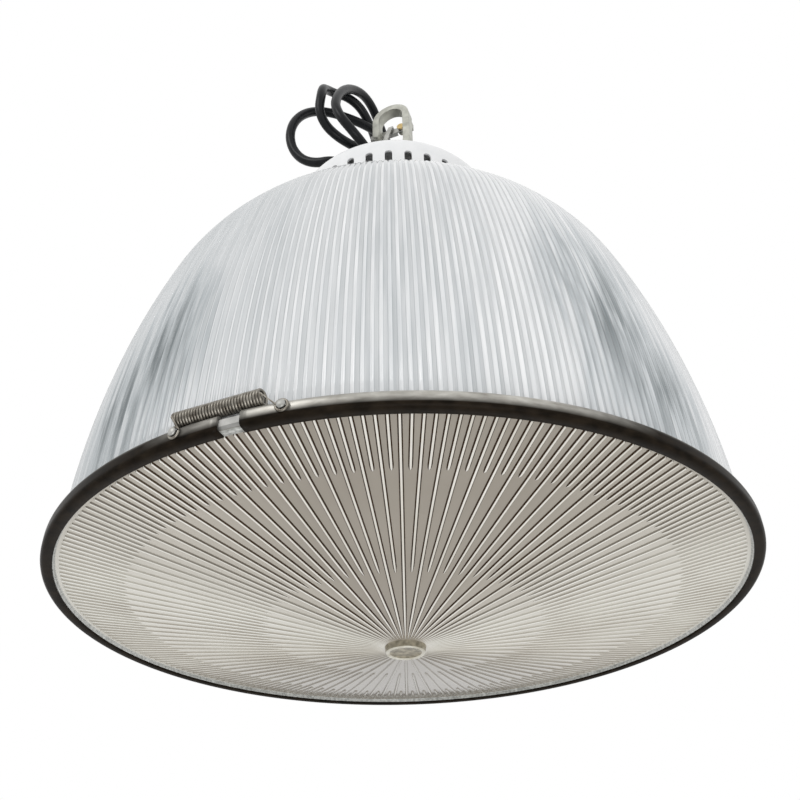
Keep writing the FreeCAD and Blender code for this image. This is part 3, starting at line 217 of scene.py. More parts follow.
def make_materials():
    m = MATERIALS
    m["zinc"] = zinc("zinc_satin")
    m["bright_zinc"] = zinc("zinc_bright", (0.34, 0.34, 0.32), (0.58, 0.575, 0.55), 0.0003)
    m["dull_zinc"] = zinc("zinc_dull", (0.16, 0.16, 0.15), (0.40, 0.395, 0.38), 0.0003)
    m["steel"] = Finish("spring_steel", Metallic=0.85, Roughness=0.28).mottle(
        300.0, (0.12, 0.105, 0.085), (0.34, 0.32, 0.28), bump=0.08, rough=(0.2, 0.4))
    m["brass"] = Finish("brass_satin", Metallic=0.9, Roughness=0.35).mottle(
        180.0, (0.5, 0.36, 0.14), (0.74, 0.58, 0.3), edge=0.0003)
    m["white"] = Finish("white_enamel", Roughness=0.32, Coat_Weight=0.3, Coat_Roughness=0.15).mottle(
        90.0, (0.79, 0.80, 0.805), (0.85, 0.855, 0.86), bump=0.05, edge=0.0004)
    m["black_rubber"] = Finish("flex_rubber", IOR=1.5, Specular_IOR_Level=0.22).mottle(
        260.0, (0.003, 0.0035, 0.004), (0.008, 0.009, 0.011), bump=0.12, rough=(0.24, 0.4))
    m["black_plastic"] = Finish("gland_nylon", Roughness=0.45).mottle(
        400.0, (0.012, 0.012, 0.013), (0.03, 0.03, 0.032), bump=0.15, edge=0.0004)
    m["seal"] = Finish("seal_rubber", Roughness=0.7).mottle(200.0, (0.03, 0.03, 0.03), (0.07, 0.07, 0.065))
    m["porcelain"] = Finish("glazed_porcelain", Roughness=0.18, Coat_Weight=0.5).mottle(
        60.0, (0.78, 0.77, 0.73), (0.84, 0.83, 0.8), bump=0.05, edge=0.001)
    m["block"] = Finish("block_plastic", Roughness=0.5).mottle(
        250.0, (0.66, 0.63, 0.56), (0.76, 0.73, 0.66), edge=0.0004)
    m["brown"] = Finish("core_brown", Roughness=0.5).mottle(200.0, (0.1, 0.04, 0.015), (0.16, 0.07, 0.03))
    m["blue"] = Finish("core_blue", Roughness=0.5).mottle(200.0, (0.02, 0.07, 0.25), (0.03, 0.11, 0.36))
    m["green"] = Finish("core_green", Roughness=0.5).mottle(60.0, (0.08, 0.25, 0.03), (0.6, 0.5, 0.04))


make_materials()


def band_material():
    """Dark bronze lacquer, with a painted reflection of satin metal along the front and a fainter painted
    highlight along the top edge.
    """
    f = Finish("band_bronze", IOR=1.4, Specular_IOR_Level=0.05)
    fine = f.noise(150.0, 6.0, (1.0, 1.0, 3.0))
    base = f.ramp(fine, (0.3, (0.006, 0.0045, 0.003)), (0.72, (0.020, 0.0145, 0.0095)))
    # Colour of the painted reflection: bright satin metal.
    sheen_colour = f.ramp(fine, (0.25, (0.34, 0.325, 0.29)), (0.7, (0.60, 0.585, 0.54)))
    place = f.node("ShaderNodeSeparateXYZ")
    f.tree.links.new(f.node("ShaderNodeTexCoord").outputs["Object"], place.inputs[0])
    cloudy = f.ramp(f.noise(34.0, 5.0), (0.3, (0, 0, 0)), (0.66, (1, 1, 1)))
    # Painted reflection on the upper part of the band's front, and a fainter painted highlight along its top
    # edge all round.
    front = f.spread(place.outputs["Y"], -0.172, -0.2)
    top = f.spread(place.outputs["Z"], RIM - 0.0024, RIM + 0.0006)
    edge = f.spread(place.outputs["Z"], RIM + 0.0010, RIM + 0.0030, high=0.22)
    painted_sheen = f.math("MULTIPLY", f.math("MULTIPLY", front, top), f.math("MULTIPLY_ADD", cloudy, 0.25, 0.75))
    painted_sheen = f.math("MAXIMUM", painted_sheen, f.math("MULTIPLY", edge, f.math("MULTIPLY_ADD", cloudy, 0.7, 0.3)))
    f.link(f.mix(painted_sheen, base, sheen_colour), "Base Color")
    f.link(f.math("MULTIPLY", painted_sheen, 0.85), "Metallic")
    f.link(f.spread(fine, low=0.26, high=0.42), "Roughness")
    f.bump(fine, 0.12, 0.0002)
    return f.material


# Darker streaked patches painted on the dome, painted reflections of dark surroundings: azimuth in degrees,
# radius, height, width, tallness
DARK_REFLECTION_PATCHES = [(33, 0.195, -0.385, 0.050, 0.115), (40, 0.198, -0.435, 0.050, 0.060),
           (-37, 0.195, -0.405, 0.040, 0.075), (-45, 0.198, -0.430, 0.040, 0.060),
           (88, 0.190, -0.370, 0.060, 0.100), (-95, 0.193, -0.390, 0.060, 0.110),
           (140, 0.196, -0.410, 0.055, 0.080), (-150, 0.190, -0.370, 0.060, 0.100)]


def dome_material():
    """Clear prismatic acrylic: each flute has a painted highlight face and a painted grey shade face, with
    dark painted reflections streaked along it.
    """
    f = Finish("dome_acrylic", Roughness=0.13, IOR=1.49, Transmission_Weight=0.08)
    across, height = wrap_angle(f, RIBS)
    # Painted light on each flute: a bright painted highlight face, a grey painted shade face and darker lines
    # between them.
    flute_highlight_shade = f.ramp(across, (0.0, (0.42, 0.445, 0.46)), (0.06, (0.60, 0.62, 0.63)), (0.42, (0.70, 0.715, 0.72)),
                  (0.48, (0.42, 0.445, 0.46)), (0.55, (0.95, 0.955, 0.96)), (0.93, (0.95, 0.955, 0.96)),
                  (1.0, (0.42, 0.445, 0.46)))
    place = f.node("ShaderNodeTexCoord").outputs["Object"]
    axes = around_axis(f)
    wrapped = f.tree.nodes.new("ShaderNodeCombineXYZ")
    for axis in ("X", "Y"):
        f.tree.links.new(axes.outputs[axis], wrapped.inputs[axis])
    f.tree.links.new(f.math("MULTIPLY", height, 0.35), wrapped.inputs["Z"])
    reflection_streaks = f.node("ShaderNodeTexNoise", Scale=44.0, Detail=3.0, Vector=wrapped.outputs[0]).outputs["Fac"]
    broad = f.node("ShaderNodeTexNoise", Scale=5.0, Detail=2.0, Vector=wrapped.outputs[0]).outputs["Fac"]
    # Painted reflection: soft spheres that darken the dome in patches.
    reflection_patch = None
    for azimuth, radius, level, width, tall in DARK_REFLECTION_PATCHES:
        centre = polar(radius, math.radians(azimuth), level)
        spot = f.tree.nodes.new("ShaderNodeMapping")
        spot.inputs["Scale"].default_value = (1 / width, 1 / width, 1 / tall)
        spot.inputs["Location"].default_value = (-centre.x / width, -centre.y / width, -centre.z / tall)
        f.tree.links.new(place, spot.inputs["Vector"])
        ball = f.tree.nodes.new("ShaderNodeTexGradient")
        ball.gradient_type = "SPHERICAL"
        f.tree.links.new(spot.outputs["Vector"], ball.inputs["Vector"])
        reflection_patch = ball.outputs["Fac"] if reflection_patch is None else f.math("MAXIMUM", reflection_patch, ball.outputs["Fac"])
    # The painted reflection: broad darkening, the patches and the streaked noise together darken the dome's
    # colour.
    dark = f.spread(reflection_streaks, 0.36, 0.6)
    broad_dark_reflection = f.spread(broad, 0.35, 0.7, 0.04, 0.2)
    weight = f.math("ADD", broad_dark_reflection, f.math("MULTIPLY", reflection_patch, 0.75))
    weight = f.math("MULTIPLY", weight, f.math("MULTIPLY_ADD", dark, 0.8, 0.2))
    shade = f.ramp(weight, (0.0, (1.0, 1.0, 1.0)), (0.3, (0.68, 0.71, 0.725)), (0.75, (0.25, 0.28, 0.29)))
    # Random blurring of the painted flute highlight and shade towards an even grey.
    uneven = f.node("ShaderNodeTexNoise", Scale=60.0, Detail=2.0, Vector=wrapped.outputs[0]).outputs["Fac"]
    blur = f.spread(uneven, 0.35, 0.68, 0.05, 0.75)
    flute_highlight_shade = f.mix(blur, flute_highlight_shade, (0.74, 0.755, 0.765))
    f.link(f.mix(1.0, flute_highlight_shade, shade, "MULTIPLY"), "Base Color")
    return f.material


# ---------------------------------------------------------------- mesh helpers
def mesh_piece(name, verts, faces, *materials, smooth=True, face_slots=None):
    data = bpy.data.meshes.new(name)
    data.from_pydata([tuple(v) for v in verts], [], faces)
    for material in materials:
        data.materials.append(material)
    if face_slots:
        data.polygons.foreach_set("material_index", face_slots)
    if smooth:
        data.polygons.foreach_set("use_smooth", [True] * len(data.polygons))
    data.update()
    obj = bpy.data.objects.new(name, data)
    bpy.context.scene.collection.objects.link(obj)
    return obj


def grid_faces(rows, columns, wrap=True, offset=0):
    """Quads of a rows by columns grid of points, closed round the columns if wrap is set."""
    faces = []
    for i in range(rows - 1):
        for j in range(columns if wrap else columns - 1):
            k = (j + 1) % columns
            a, b = offset + i * columns, offset + (i + 1) * columns
            faces.append((a + j, b + j, b + k, a + k))
    return faces


def ring_faces(rows, columns):
    """Quads of a tube whose last row of points joins the first."""
    last = (rows - 1) * columns
    return grid_faces(rows, columns) + [
        (last + j, j, (j + 1) % columns, last + (j + 1) % columns) for j in range(columns)]


def paint(node, material):
    """Put a material on a CAD node."""
    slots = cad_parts[node].data.materials
    slots.clear()
    slots.append(MATERIALS.get(material, material))


# ---------------------------------------------------------------- dome
TURNS = [0.0, math.radians(42.9), math.radians(71.7), math.pi / 2]
CROWN_ARC, SHOULDER_ARC = 0.06129, 0.11577
RIBS, PER_RIB = 300, 4
RIB_DEPTH, RIB_FADE = 0.0011, 0.03


def dome_outline(inset, steps):
    """Points (radius, height above the rim plane) from the flat top to the vertical rim."""
    drop = DOME_HEIGHT - DOME_FLANGE
    fall = CROWN_ARC * (1 - math.cos(TURNS[1])) + SHOULDER_ARC * (math.cos(TURNS[1]) - math.cos(TURNS[2]))
    radii = [CROWN_ARC, SHOULDER_ARC, (drop - fall) / math.cos(TURNS[2])]
    reach = ((radii[0] - radii[1]) * math.sin(TURNS[1]) + (radii[1] - radii[2]) * math.sin(TURNS[2])
             + radii[2])
    r, z = DOME_R - reach, DOME_HEIGHT - radii[0]
    points = []
    for index, (radius, count) in enumerate(zip(radii, steps)):
        if index:
            r += (radii[index - 1] - radius) * math.sin(TURNS[index])
            z += (radii[index - 1] - radius) * math.cos(TURNS[index])
        for step in range(count):
            turn = TURNS[index] + (TURNS[index + 1] - TURNS[index]) * step / count
            points.append((r + (radius - inset) * math.sin(turn), z + (radius - inset) * math.cos(turn)))
    points.append((r + radii[2] - inset, z))
    return points


# How far each of a rib's points stands out of its valley, as a share of the rib's depth
FLUTE = [0.0, 0.75, 1.0, 0.75]


def make_dome():
    """Fluted outside, smooth inside, the neck's edge and the flat flange, all in one closed skin."""
    columns = RIBS * PER_RIB
    outside = [(NECK_R, DOME_HEIGHT, 0.0)]
    arcs = dome_outline(0.0, (8, 8, 16))
    for r, z in arcs:
        outside.append((r, z, min(1.0, 0.12 + 0.88 * (r - arcs[0][0]) / RIB_FADE)))
    outside += [(DOME_R, DOME_FLANGE, 1.0), (FLANGE_R, DOME_FLANGE, 0.0), (FLANGE_R, 0.0, 0.0)]
    inside = [(r, z, 0.0) for r, z in dome_outline(DOME_WALL, (6, 6, 10))][::-1]
    inside = [(DOME_R - DOME_WALL, 0.0, 0.0)] + inside + [(NECK_R, DOME_HEIGHT - DOME_WALL, 0.0)]
    verts = []
    for r, z, depth in outside + inside:
        for j in range(columns):
            flute = RIB_DEPTH * depth * (1.0 - FLUTE[j % PER_RIB])
            angle = 2 * math.pi * (j / columns)
            verts.append(polar(r - flute, angle, RIM + z))
    faces = ring_faces(len(outside) + len(inside), columns)
    dome = mesh_piece("fluted_dome", verts, faces, dome_material())
    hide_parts("dome")
    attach(dome, BODY)


make_dome()


# ---------------------------------------------------------------- lens
CONE_EDGE_R, LENS_DEPTH, LENS_WALL = 0.1962, 0.029, 0.002
PAN_R, RECESS, PAN_WALL = 0.1990, 0.0020, 0.0008
CONE_SLOPE = (LENS_DEPTH + RECESS) / CONE_EDGE_R
BOSS_R, BOSS_DROP = 0.0123, 0.0040
RIDGE_FOOT, RIDGE_CREST, RIDGE_HEIGHT, RIDGE_STEPS = 0.00122, 0.0005, 0.0007, 9
# Where each set of ridges starts, its first azimuth in turns and how many there are
RIDGE_SETS = [(0.0136, 0.0, 60), (0.080, 0.5 / 60, 60), (0.160, 0.25 / 60, 120)]
HUB_R = BOSS_R * 0.6
LAND, FLANK, CREST, BOSS, BOSS_RIM, MARGIN = range(6)


def cone_height(radius):
    return LENS_BACK + RECESS - (CONE_EDGE_R - radius) * CONE_SLOPE


def lens_materials():
    land = Finish("lens_acrylic", Roughness=0.14, IOR=1.49, Transmission_Weight=0.08, Specular_IOR_Level=0.12)
    haze = land.ramp(land.noise(11.0, 4.0), (0.32, (0.84, 0.83, 0.81)), (0.68, (1.0, 1.0, 1.0)))
    # Painted shade and painted reflection on the land: darker at the front and at the back, lighter at the
    # sides.
    tone = land.ramp(front_to_back(land), (0.03, (0.33, 0.295, 0.245)), (0.12, (0.47, 0.435, 0.375)),
                     (0.38, (0.74, 0.72, 0.66)), (0.75, (0.68, 0.655, 0.59)), (1.0, (0.25, 0.225, 0.19)))
    land.link(land.mix(1.0, tone, haze, "MULTIPLY"), "Base Color")
    flank = Finish("lens_flank", Roughness=0.2, IOR=1.49, Specular_IOR_Level=0.15)
    # Painted shade on the flanks: near black at the front, lighter at the sides, darker again at the back,
    # with random unevenness.
    flank_unevenness = flank.ramp(flank.noise(30.0, 4.0), (0.3, (0.75, 0.72, 0.7)), (0.7, (1.0, 1.0, 1.0)))
    tone = flank.ramp(front_to_back(flank), (0.02, (0.040, 0.022, 0.010)), (0.10, (0.058, 0.038, 0.021)),
                      (0.32, (0.47, 0.455, 0.40)), (0.7, (0.52, 0.50, 0.44)), (1.0, (0.30, 0.275, 0.235)))
    flank.link(flank.mix(1.0, tone, flank_unevenness, "MULTIPLY"), "Base Color")
    crest = Finish("lens_crest", Roughness=0.12, IOR=1.49, Specular_IOR_Level=0.2)
    shine = crest.ramp(crest.noise(14.0, 4.0), (0.3, (0.80, 0.79, 0.76)), (0.7, (1.0, 1.0, 1.0)))
    # Painted highlight and painted shade on the crests: brightest at the sides, darker at the front and much
    # darker at the back.
    tone = crest.ramp(front_to_back(crest), (0.03, (0.80, 0.775, 0.72)), (0.45, (0.97, 0.97, 0.93)),
                      (0.75, (0.88, 0.85, 0.78)), (1.0, (0.28, 0.26, 0.22)))
    crest.link(crest.mix(1.0, tone, shine, "MULTIPLY"), "Base Color")
    # Painted shade on the boss, the dark inside seen through the clear acrylic, and a painted highlight on
    # its rim.
    boss = Finish("lens_boss", Roughness=0.1, IOR=1.49)
    boss.mottle(260.0, (0.10, 0.085, 0.05), (0.36, 0.32, 0.23), bump=0.05)
    rim = Finish("lens_boss_rim", Roughness=0.12, IOR=1.49)
    rim.mottle(160.0, (0.42, 0.39, 0.31), (0.66, 0.64, 0.56), bump=0.05)
    margin = Finish("lens_margin", Roughness=0.3, IOR=1.49, Transmission_Weight=0.15)
    margin.mottle(520.0, (0.24, 0.245, 0.225), (0.62, 0.63, 0.6), bump=0.1)
    return [finish.material for finish in (land, flank, crest, boss, rim, margin)]


def make_lens():
    """The recessed cone and its flange, radial ridges in three lengths and the boss at the centre."""
    verts, faces, slots = [], [], []

    def add(points, new_faces, slot):
        faces.extend(new_faces)
        slots.extend([slot] * len(new_faces) if isinstance(slot, int) else slot)
        verts.extend(points)

    columns, steps = 240, 14
    radii = [HUB_R + (CONE_EDGE_R - HUB_R) * i / steps for i in range(steps + 1)]
    pan = LENS_BACK + RECESS
    rings = [(r, cone_height(r)) for r in radii]
    rings += [(CONE_EDGE_R + 0.0008, pan + 0.0002), (PAN_R - 0.0005, pan), (PAN_R, pan - 0.0005),
              (PAN_R, LENS_BACK), (FLANGE_R, LENS_BACK), (FLANGE_R, LENS_BACK + LENS_WALL),
              (PAN_R + 0.0009, LENS_BACK + LENS_WALL), (PAN_R + 0.0009, pan + PAN_WALL),
              (CONE_EDGE_R, pan + PAN_WALL), (HUB_R, cone_height(HUB_R) + LENS_WALL)]
    points = [polar(r, 2 * math.pi * j / columns, z) for r, z in rings for j in range(columns)]
    margin = range(len(radii) + 1, len(radii) + 4)
    quads = grid_faces(len(rings), columns)
    add(points, quads, [MARGIN if q // columns in margin else LAND for q in range(len(quads))])
    for start, first, count in RIDGE_SETS:
        for i in range(count):
            azimuth = 2 * math.pi * (first + i / count)
            side = polar(1.0, azimuth + math.pi / 2, 0.0)
            base = len(verts)
            ridge = []
            for k in range(RIDGE_STEPS + 2):
                t = min(k, RIDGE_STEPS) / RIDGE_STEPS
                r = start + (CONE_EDGE_R - start) * t * (0.3 + 0.7 * t)
                r += 0.0004 if k > RIDGE_STEPS else 0.0
                swell = min(1.0, 0.08 + k / 1.5) if k <= RIDGE_STEPS else 0.1
                narrow = min(1.0, 0.3 + 0.7 * r / 0.045)
                centre = polar(r, azimuth, cone_height(r))
                for across, rise in ((-RIDGE_FOOT, -0.0001), (-RIDGE_CREST, RIDGE_HEIGHT),
                                     (RIDGE_CREST, RIDGE_HEIGHT), (RIDGE_FOOT, -0.0001)):
                    ridge.append(centre + side * across * narrow * (0.4 + 0.6 * swell)
                                 - Vector((0, 0, rise * swell * narrow)))
            quads = grid_faces(RIDGE_STEPS + 2, 4, wrap=False, offset=base)
            add(ridge, quads, [(FLANK, CREST, FLANK)[q % 3] for q in range(len(quads))])
    face = cone_height(BOSS_R) - BOSS_DROP
    knob = [(0.0, face + 0.0009), (BOSS_R * 0.55, face + 0.0010), (BOSS_R * 0.76, face + 0.0006),
            (BOSS_R * 0.82, face), (BOSS_R * 0.90, face + 0.0001), (BOSS_R * 0.94, face + 0.0006),
            (BOSS_R * 0.96, face + 0.0020), (BOSS_R, cone_height(BOSS_R) + 0.001)]
    base, around = len(verts), 96
    points = [polar(r, 2 * math.pi * j / around, z) for r, z in knob for j in range(around)]
    quads = grid_faces(len(knob), around, offset=base)
    add(points, quads, [BOSS_RIM if q // around in (2, 3, 4) else BOSS for q in range(len(quads))])
    lens = mesh_piece("ribbed_lens", verts, faces, *lens_materials(), face_slots=slots)
    lens.data.polygons.foreach_set("use_smooth", [s not in (FLANK, CREST) for s in slots])
    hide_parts("lens")
    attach(lens, BODY)


def make_rim_seal():
    """The flat seal between the two flanges, with rounded edges."""
    low, high, inner, ease = LENS_BACK + LENS_WALL, RIM, PAN_R + 0.0011, 0.0003
    ring = [(inner, low + ease), (inner + ease, low), (FLANGE_R - ease, low), (FLANGE_R, low + ease),
            (FLANGE_R, high - ease), (FLANGE_R - ease, high), (inner + ease, high), (inner, high - ease)]
    columns = 160
    verts = [polar(r, 2 * math.pi * j / columns, z) for r, z in ring for j in range(columns)]
    seal = mesh_piece("rim_seal", verts, ring_faces(len(ring), columns), MATERIALS["seal"])
    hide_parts("rim_gasket")
    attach(seal, BODY)


make_lens()
make_rim_seal()

# ---------------------------------------------------------------- band and its spring
BAND_R, BAND_TOP_Z, BAND_LOW_Z = 0.206, RIM + 0.0039, RIM - 0.0046
BAND_SHEET, BAND_LIP, BAND_CORNER = 0.0012, 0.0065, 0.0024
GAP_AZIMUTH, GAP_HALF = math.radians(-20.4), math.asin(0.0055 / BAND_R)
paint("bridge_plate", "dull_zinc")


def band_section():
    """The rolled channel as points (radius, height): outer skin up, inner skin down."""
    inner = BAND_R - BAND_SHEET
    arc = [math.radians(a) for a in range(0, 91, 15)]
    low = [(BAND_R - BAND_CORNER * (1 - math.sin(a)), BAND_LOW_Z + BAND_CORNER * (1 - math.cos(a)))
           for a in arc]
    high = [(BAND_R - BAND_CORNER * (1 - math.cos(a)), BAND_TOP_Z - BAND_CORNER * (1 - math.sin(a)))
            for a in arc]
    small = BAND_CORNER - BAND_SHEET
    low_in = [(inner - small * (1 - math.sin(a)), BAND_LOW_Z + BAND_SHEET + small * (1 - math.cos(a)))
              for a in arc]
    high_in = [(inner - small * (1 - math.cos(a)), BAND_TOP_Z - BAND_SHEET - small * (1 - math.sin(a)))
               for a in arc]
    lip, ease = BAND_R - BAND_LIP, 0.00035
    return ([(lip, BAND_LOW_Z + ease), (lip + ease, BAND_LOW_Z)] + low + high
            + [(lip + ease, BAND_TOP_Z), (lip, BAND_TOP_Z - ease), (lip, BAND_TOP_Z - BAND_SHEET)]
            + high_in[::-1] + low_in[::-1] + [(lip, BAND_LOW_Z + BAND_SHEET)])


def make_band():
    """The split band, its section swept from one side of the gap to the other and capped."""
    section, steps = band_section(), 360
    verts = []
    for j in range(steps + 1):
        azimuth = GAP_AZIMUTH + GAP_HALF + (2 * math.pi - 2 * GAP_HALF) * j / steps
        verts += [polar(r, azimuth, z) for r, z in section]
    count = len(section)
    faces = []
    for j in range(steps):
        for i in range(count):
            low, high = j * count, (j + 1) * count
            following = (i + 1) % count
            faces.append((low + i, low + following, high + following, high + i))
    faces += [tuple(range(count))[::-1], tuple(steps * count + i for i in range(count))]
    band = mesh_piece("rolled_band", verts, faces, band_material())
    for polygon in band.data.polygons[-2:]:
        polygon.use_smooth = False
    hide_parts("clamp_band")
    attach(band, BODY)


# A stud's outline as radius and height above the band
STUD_PROFILE = [(0.0015, -0.0006), (0.0015, 0.0018), (0.0020, 0.0018), (0.0021, 0.0022), (0.0017, 0.0027),
                (0.0009, 0.0030), (0.0, 0.0031)]


def make_studs():
    """Two short rivets with domed heads, each holding a loop of the spring against the band."""
    verts, faces, around = [], [], 28
    for side in (1, -1):
        azimuth = STUD_AZIMUTH + side * STUD_SWING
        out, along, up = polar(1, azimuth, 0), polar(1, azimuth + math.pi / 2, 0), Vector((0, 0, 1))
        base = len(verts)
        for r, lift in STUD_PROFILE:
            for j in range(around):
                turn = 2 * math.pi * j / around
                verts.append(out * (BAND_R + lift) + up * STUD_Z
                             + (along * math.cos(turn) + up * math.sin(turn)) * r)
        faces += grid_faces(len(STUD_PROFILE), around, offset=base)
    studs = mesh_piece("rivet_studs", verts, faces, MATERIALS["bright_zinc"])
    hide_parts("spring_studs")
    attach(studs, BODY)


COIL_AZIMUTH, STUD_AZIMUTH = math.radians(-22.2), math.radians(-20.7)
STUD_SWING = math.asin(0.0258 / BAND_R)
WIRE_R, COIL_R, COIL_TURNS, TURN_STEPS, TURN_SPACING = 0.00065, 0.0034, 30, 18, 1.12
COIL_Z, STUD_Z = BAND_TOP_Z + 0.0042, RIM + 0.00045


def make_spring():
    """The close-wound coil, its ends drawn out to a ring round each stud."""
    out, along, up = polar(1, COIL_AZIMUTH, 0), polar(1, COIL_AZIMUTH + math.pi / 2, 0), Vector((0, 0, 1))
    middle = out * (BAND_R - 0.0024) + up * COIL_Z
    length = COIL_TURNS * 2 * WIRE_R * TURN_SPACING
    steps = COIL_TURNS * TURN_STEPS
    points = []
    for i in range(steps + 1):
        turn = 2 * math.pi * i / TURN_STEPS
        points.append(middle + along * (length * (i / steps - 0.5))
                      + (out * math.cos(turn) + up * math.sin(turn)) * COIL_R)
    ring = 0.0017 + WIRE_R + 0.0003  # the stud, the wire and a little play
    for side in (1, -1):
        azimuth = STUD_AZIMUTH + side * STUD_SWING
        tangent = polar(side, azimuth + math.pi / 2, 0)
        centre = polar(BAND_R + 0.0009, azimuth, STUD_Z)
        loop = [centre + (tangent * -math.cos(t) + up * math.sin(t)) * ring
                for t in (math.radians(a) for a in range(15, 366, 15))]
        points = points + loop if side > 0 else loop[::-1] + points
    data = bpy.data.curves.new("band_coil", "CURVE")
    data.dimensions = "3D"
    data.bevel_depth, data.bevel_resolution = WIRE_R, 3
    spline = data.splines.new("POLY")
    spline.points.add(len(points) - 1)
    for point, place in zip(spline.points, points):
        point.co = (*place, 1.0)
    data.materials.append(MATERIALS["steel"])
    coil = bpy.data.objects.new("band_coil", data)
    bpy.context.scene.collection.objects.link(coil)
    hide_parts("band_spring")
    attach(coil, BODY)


make_band()
make_studs()
make_spring()

# ---------------------------------------------------------------- the other CAD pieces
FINISHES = {
    "white": ["cap"],
    "zinc": ["hook", "hook_washer", "hook_nut", "hook_lock_nut", "neck_ring", "holder_bracket"],
    "bright_zinc": ["neck_screws", "neck_nuts", "latch", "holder_screws", "terminal_screws"],
    "steel": ["latch_spring"],
    "brass": ["latch_rivet", "screw_shell", "centre_contact", "earth_screw"],
    "seal": ["neck_gasket", "gland_seal"],
    "black_plastic": ["gland_body", "gland_nut", "gland_lock_nut"],
    "porcelain": ["holder_body"],
    "block": ["terminal_block"],
    "brown": ["lead_live", "tail_cores", "flex_cores"],
    "blue": ["lead_neutral"],
    "green": ["lead_earth"],
    "black_rubber": ["flex_tail"],
}
for finish_name, nodes in FINISHES.items():
    for node in nodes:
        paint(node, finish_name)

# ---------------------------------------------------------------- flex
FLEX_R = 0.00425
FLEX_POINTS_MM = [
    (-12.0, 28.0, -91.1), (-12.0, 28.0, -78.1),
    (-8.2, 25.2, -64.4), (-3.2, 22.4, -51.0),
    (0.0, 21.4, -36.8), (-1.2, 22.0, -22.4), (-6.9, 22.2, -9.0), (-15.6, 20.7, 2.6),
    (-27.4, 19.0, 11.1), (-40.5, 16.1, 16.7), (-54.2, 11.5, 18.5), (-67.2, 5.9, 15.2),
    (-77.9, 0.8, 6.7), (-85.8, -2.8, -5.0), (-91.1, -4.0, -18.6), (-92.9, -2.2, -32.9),
    (-89.9, 1.5, -46.6), (-81.3, 3.6, -58.3), (-68.8, 2.1, -65.6), (-54.6, -1.4, -66.5),
    (-40.3, 2.2, -68.0), (-29.4, 12.1, -70.2), (-24.4, 25.9, -72.4), (-26.4, 40.5, -73.4),
    (-30.8, 54.6, -71.6), (-34.0, 67.0, -64.1), (-35.1, 74.8, -51.7), (-34.1, 76.3, -37.0),
    (-31.8, 70.9, -23.5), (-28.6, 60.0, -14.2), (-25.6, 46.0, -11.2), (-23.5, 32.0, -15.1),
    (-23.6, 21.0, -24.8), (-28.4, 11.8, -35.3), (-38.1, 2.2, -40.7), (-50.0, -6.5, -39.5),
    (-60.4, -13.4, -31.6), (-65.3, -19.8, -19.3), (-63.5, -24.5, -5.5), (-62.7, -22.3, 8.8),
    (-61.0, -13.9, 20.5), (-53.9, -4.0, 28.3), (-41.8, 3.2, 32.3), (-30.8, 12.4, 29.8),
    (-23.5, 21.8, 21.4), (-18.4, 28.9, 9.6), (-15.0, 32.3, -4.2), (-13.3, 32.2, -18.8),
    (-13.1, 28.4, -32.9), (-13.9, 21.0, -45.5), (-16.0, 10.2, -55.2), (-20.1, -2.7, -60.7),
    (-26.9, -15.6, -60.9), (-36.0, -25.6, -55.3), (-44.9, -30.7, -44.9), (-49.5, -31.5, -31.1),
    (-49.1, -29.3, -16.6), (-46.6, -25.1, -2.8), (-43.3, -19.4, 10.2), (-39.1, -12.3, 22.3),
    (-33.4, -3.6, 32.6), (-26.3, 7.1, 39.6), (-19.5, 19.9, 40.7), (-14.1, 32.3, 35.0),
    (-9.2, 40.8, 24.3), (-5.1, 44.9, 10.8), (-2.5, 45.7, -3.5), (-1.2, 44.7, -18.1),
    (-0.8, 43.3, -32.6), (-0.6, 42.2, -47.2), (-0.1, 41.8, -61.8), (0.8, 42.0, -76.4),
    (2.2, 42.8, -90.4),
]


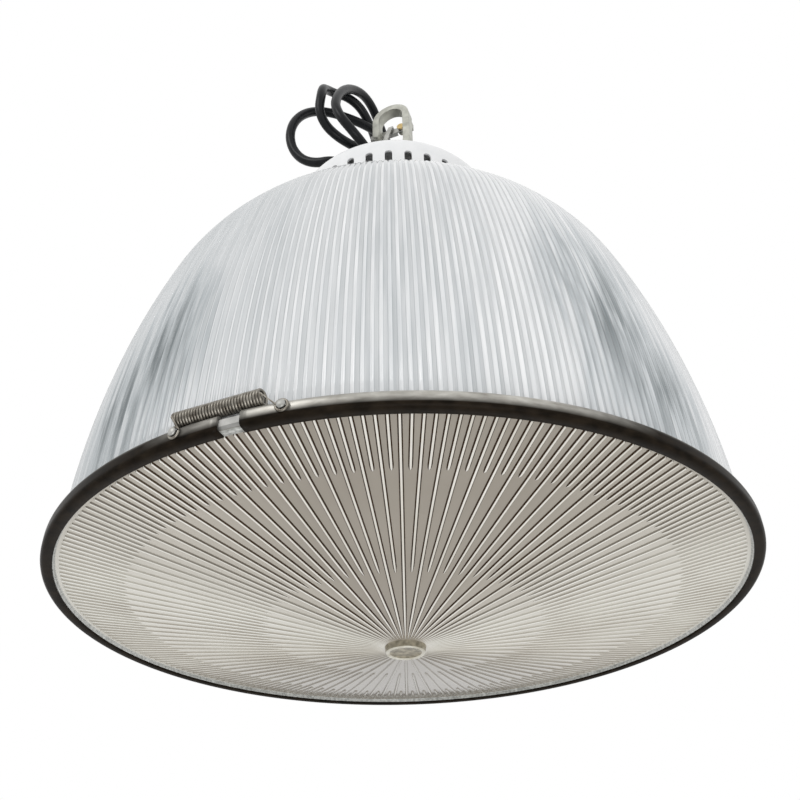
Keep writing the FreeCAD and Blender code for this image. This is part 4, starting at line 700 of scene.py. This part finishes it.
def make_flex():
    data = bpy.data.curves.new("flex_jacket", "CURVE")
    data.dimensions = "3D"
    data.bevel_depth, data.bevel_resolution = FLEX_R, 5
    data.resolution_u = 6
    spline = data.splines.new("NURBS")
    spline.points.add(len(FLEX_POINTS_MM) - 1)
    for point, place in zip(spline.points, FLEX_POINTS_MM):
        point.co = (*(c / 1000 for c in place), 1.0)
    spline.order_u = 3
    spline.use_endpoint_u = True
    data.use_fill_caps = True
    data.materials.append(MATERIALS["black_rubber"])
    flex = bpy.data.objects.new("flex_jacket", data)
    bpy.context.scene.collection.objects.link(flex)
    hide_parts("flex")
    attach(flex, BODY)


make_flex()


# ---------------------------------------------------------------- studio
FLOOR_HALF, FLOOR_DROP = 20, 1.8


def area_lamp(name, place, target, size, energy):
    data = bpy.data.lights.new(name, "AREA")
    data.shape, data.size, data.energy = "DISK", size, energy
    lamp = bpy.data.objects.new(name, data)
    lamp.location = place
    lamp.rotation_euler = (Vector(target) - Vector(place)).to_track_quat("-Z", "Y").to_euler()
    bpy.context.scene.collection.objects.link(lamp)


def make_studio():
    scene = bpy.context.scene
    scene.view_settings.view_transform = "Standard"
    world = bpy.data.worlds.new("studio")
    world.use_nodes = True
    scene.world = world
    tree = world.node_tree
    background = tree.nodes["Background"]
    path = tree.nodes.new("ShaderNodeLightPath")
    seen = path.outputs["Is Camera Ray"]
    for output in ("Is Glossy Ray", "Is Transmission Ray"):
        either = tree.nodes.new("ShaderNodeMath")
        either.operation = "MAXIMUM"
        tree.links.new(seen, either.inputs[0])
        tree.links.new(path.outputs[output], either.inputs[1])
        seen = either.outputs[0]
    strength = tree.nodes.new("ShaderNodeMapRange")
    strength.inputs["To Min"].default_value = 0.85
    strength.inputs["To Max"].default_value = 1.0
    tree.links.new(seen, strength.inputs["Value"])
    tree.links.new(strength.outputs["Result"], background.inputs["Strength"])
    background.inputs["Color"].default_value = (1.0, 1.0, 1.0, 1.0)
    area_lamp("key", (-1.3, -1.7, 0.7), (0, 0, -0.35), 1.0, 10.0)
    area_lamp("low_fill", (0.3, -1.1, -1.75), (0, 0, -0.5), 1.2, 9.5)
    pale = Finish("floor_pale", Roughness=0.9).mottle(3.0, (0.8, 0.8, 0.8), (0.84, 0.84, 0.84), bump=0.0)
    corners = [(x * FLOOR_HALF, y * FLOOR_HALF, RIM - FLOOR_DROP)
               for x, y in ((-1, -1), (1, -1), (1, 1), (-1, 1))]
    floor = mesh_piece("studio_floor", corners, [(0, 1, 2, 3)], pale, smooth=False)


make_studio()
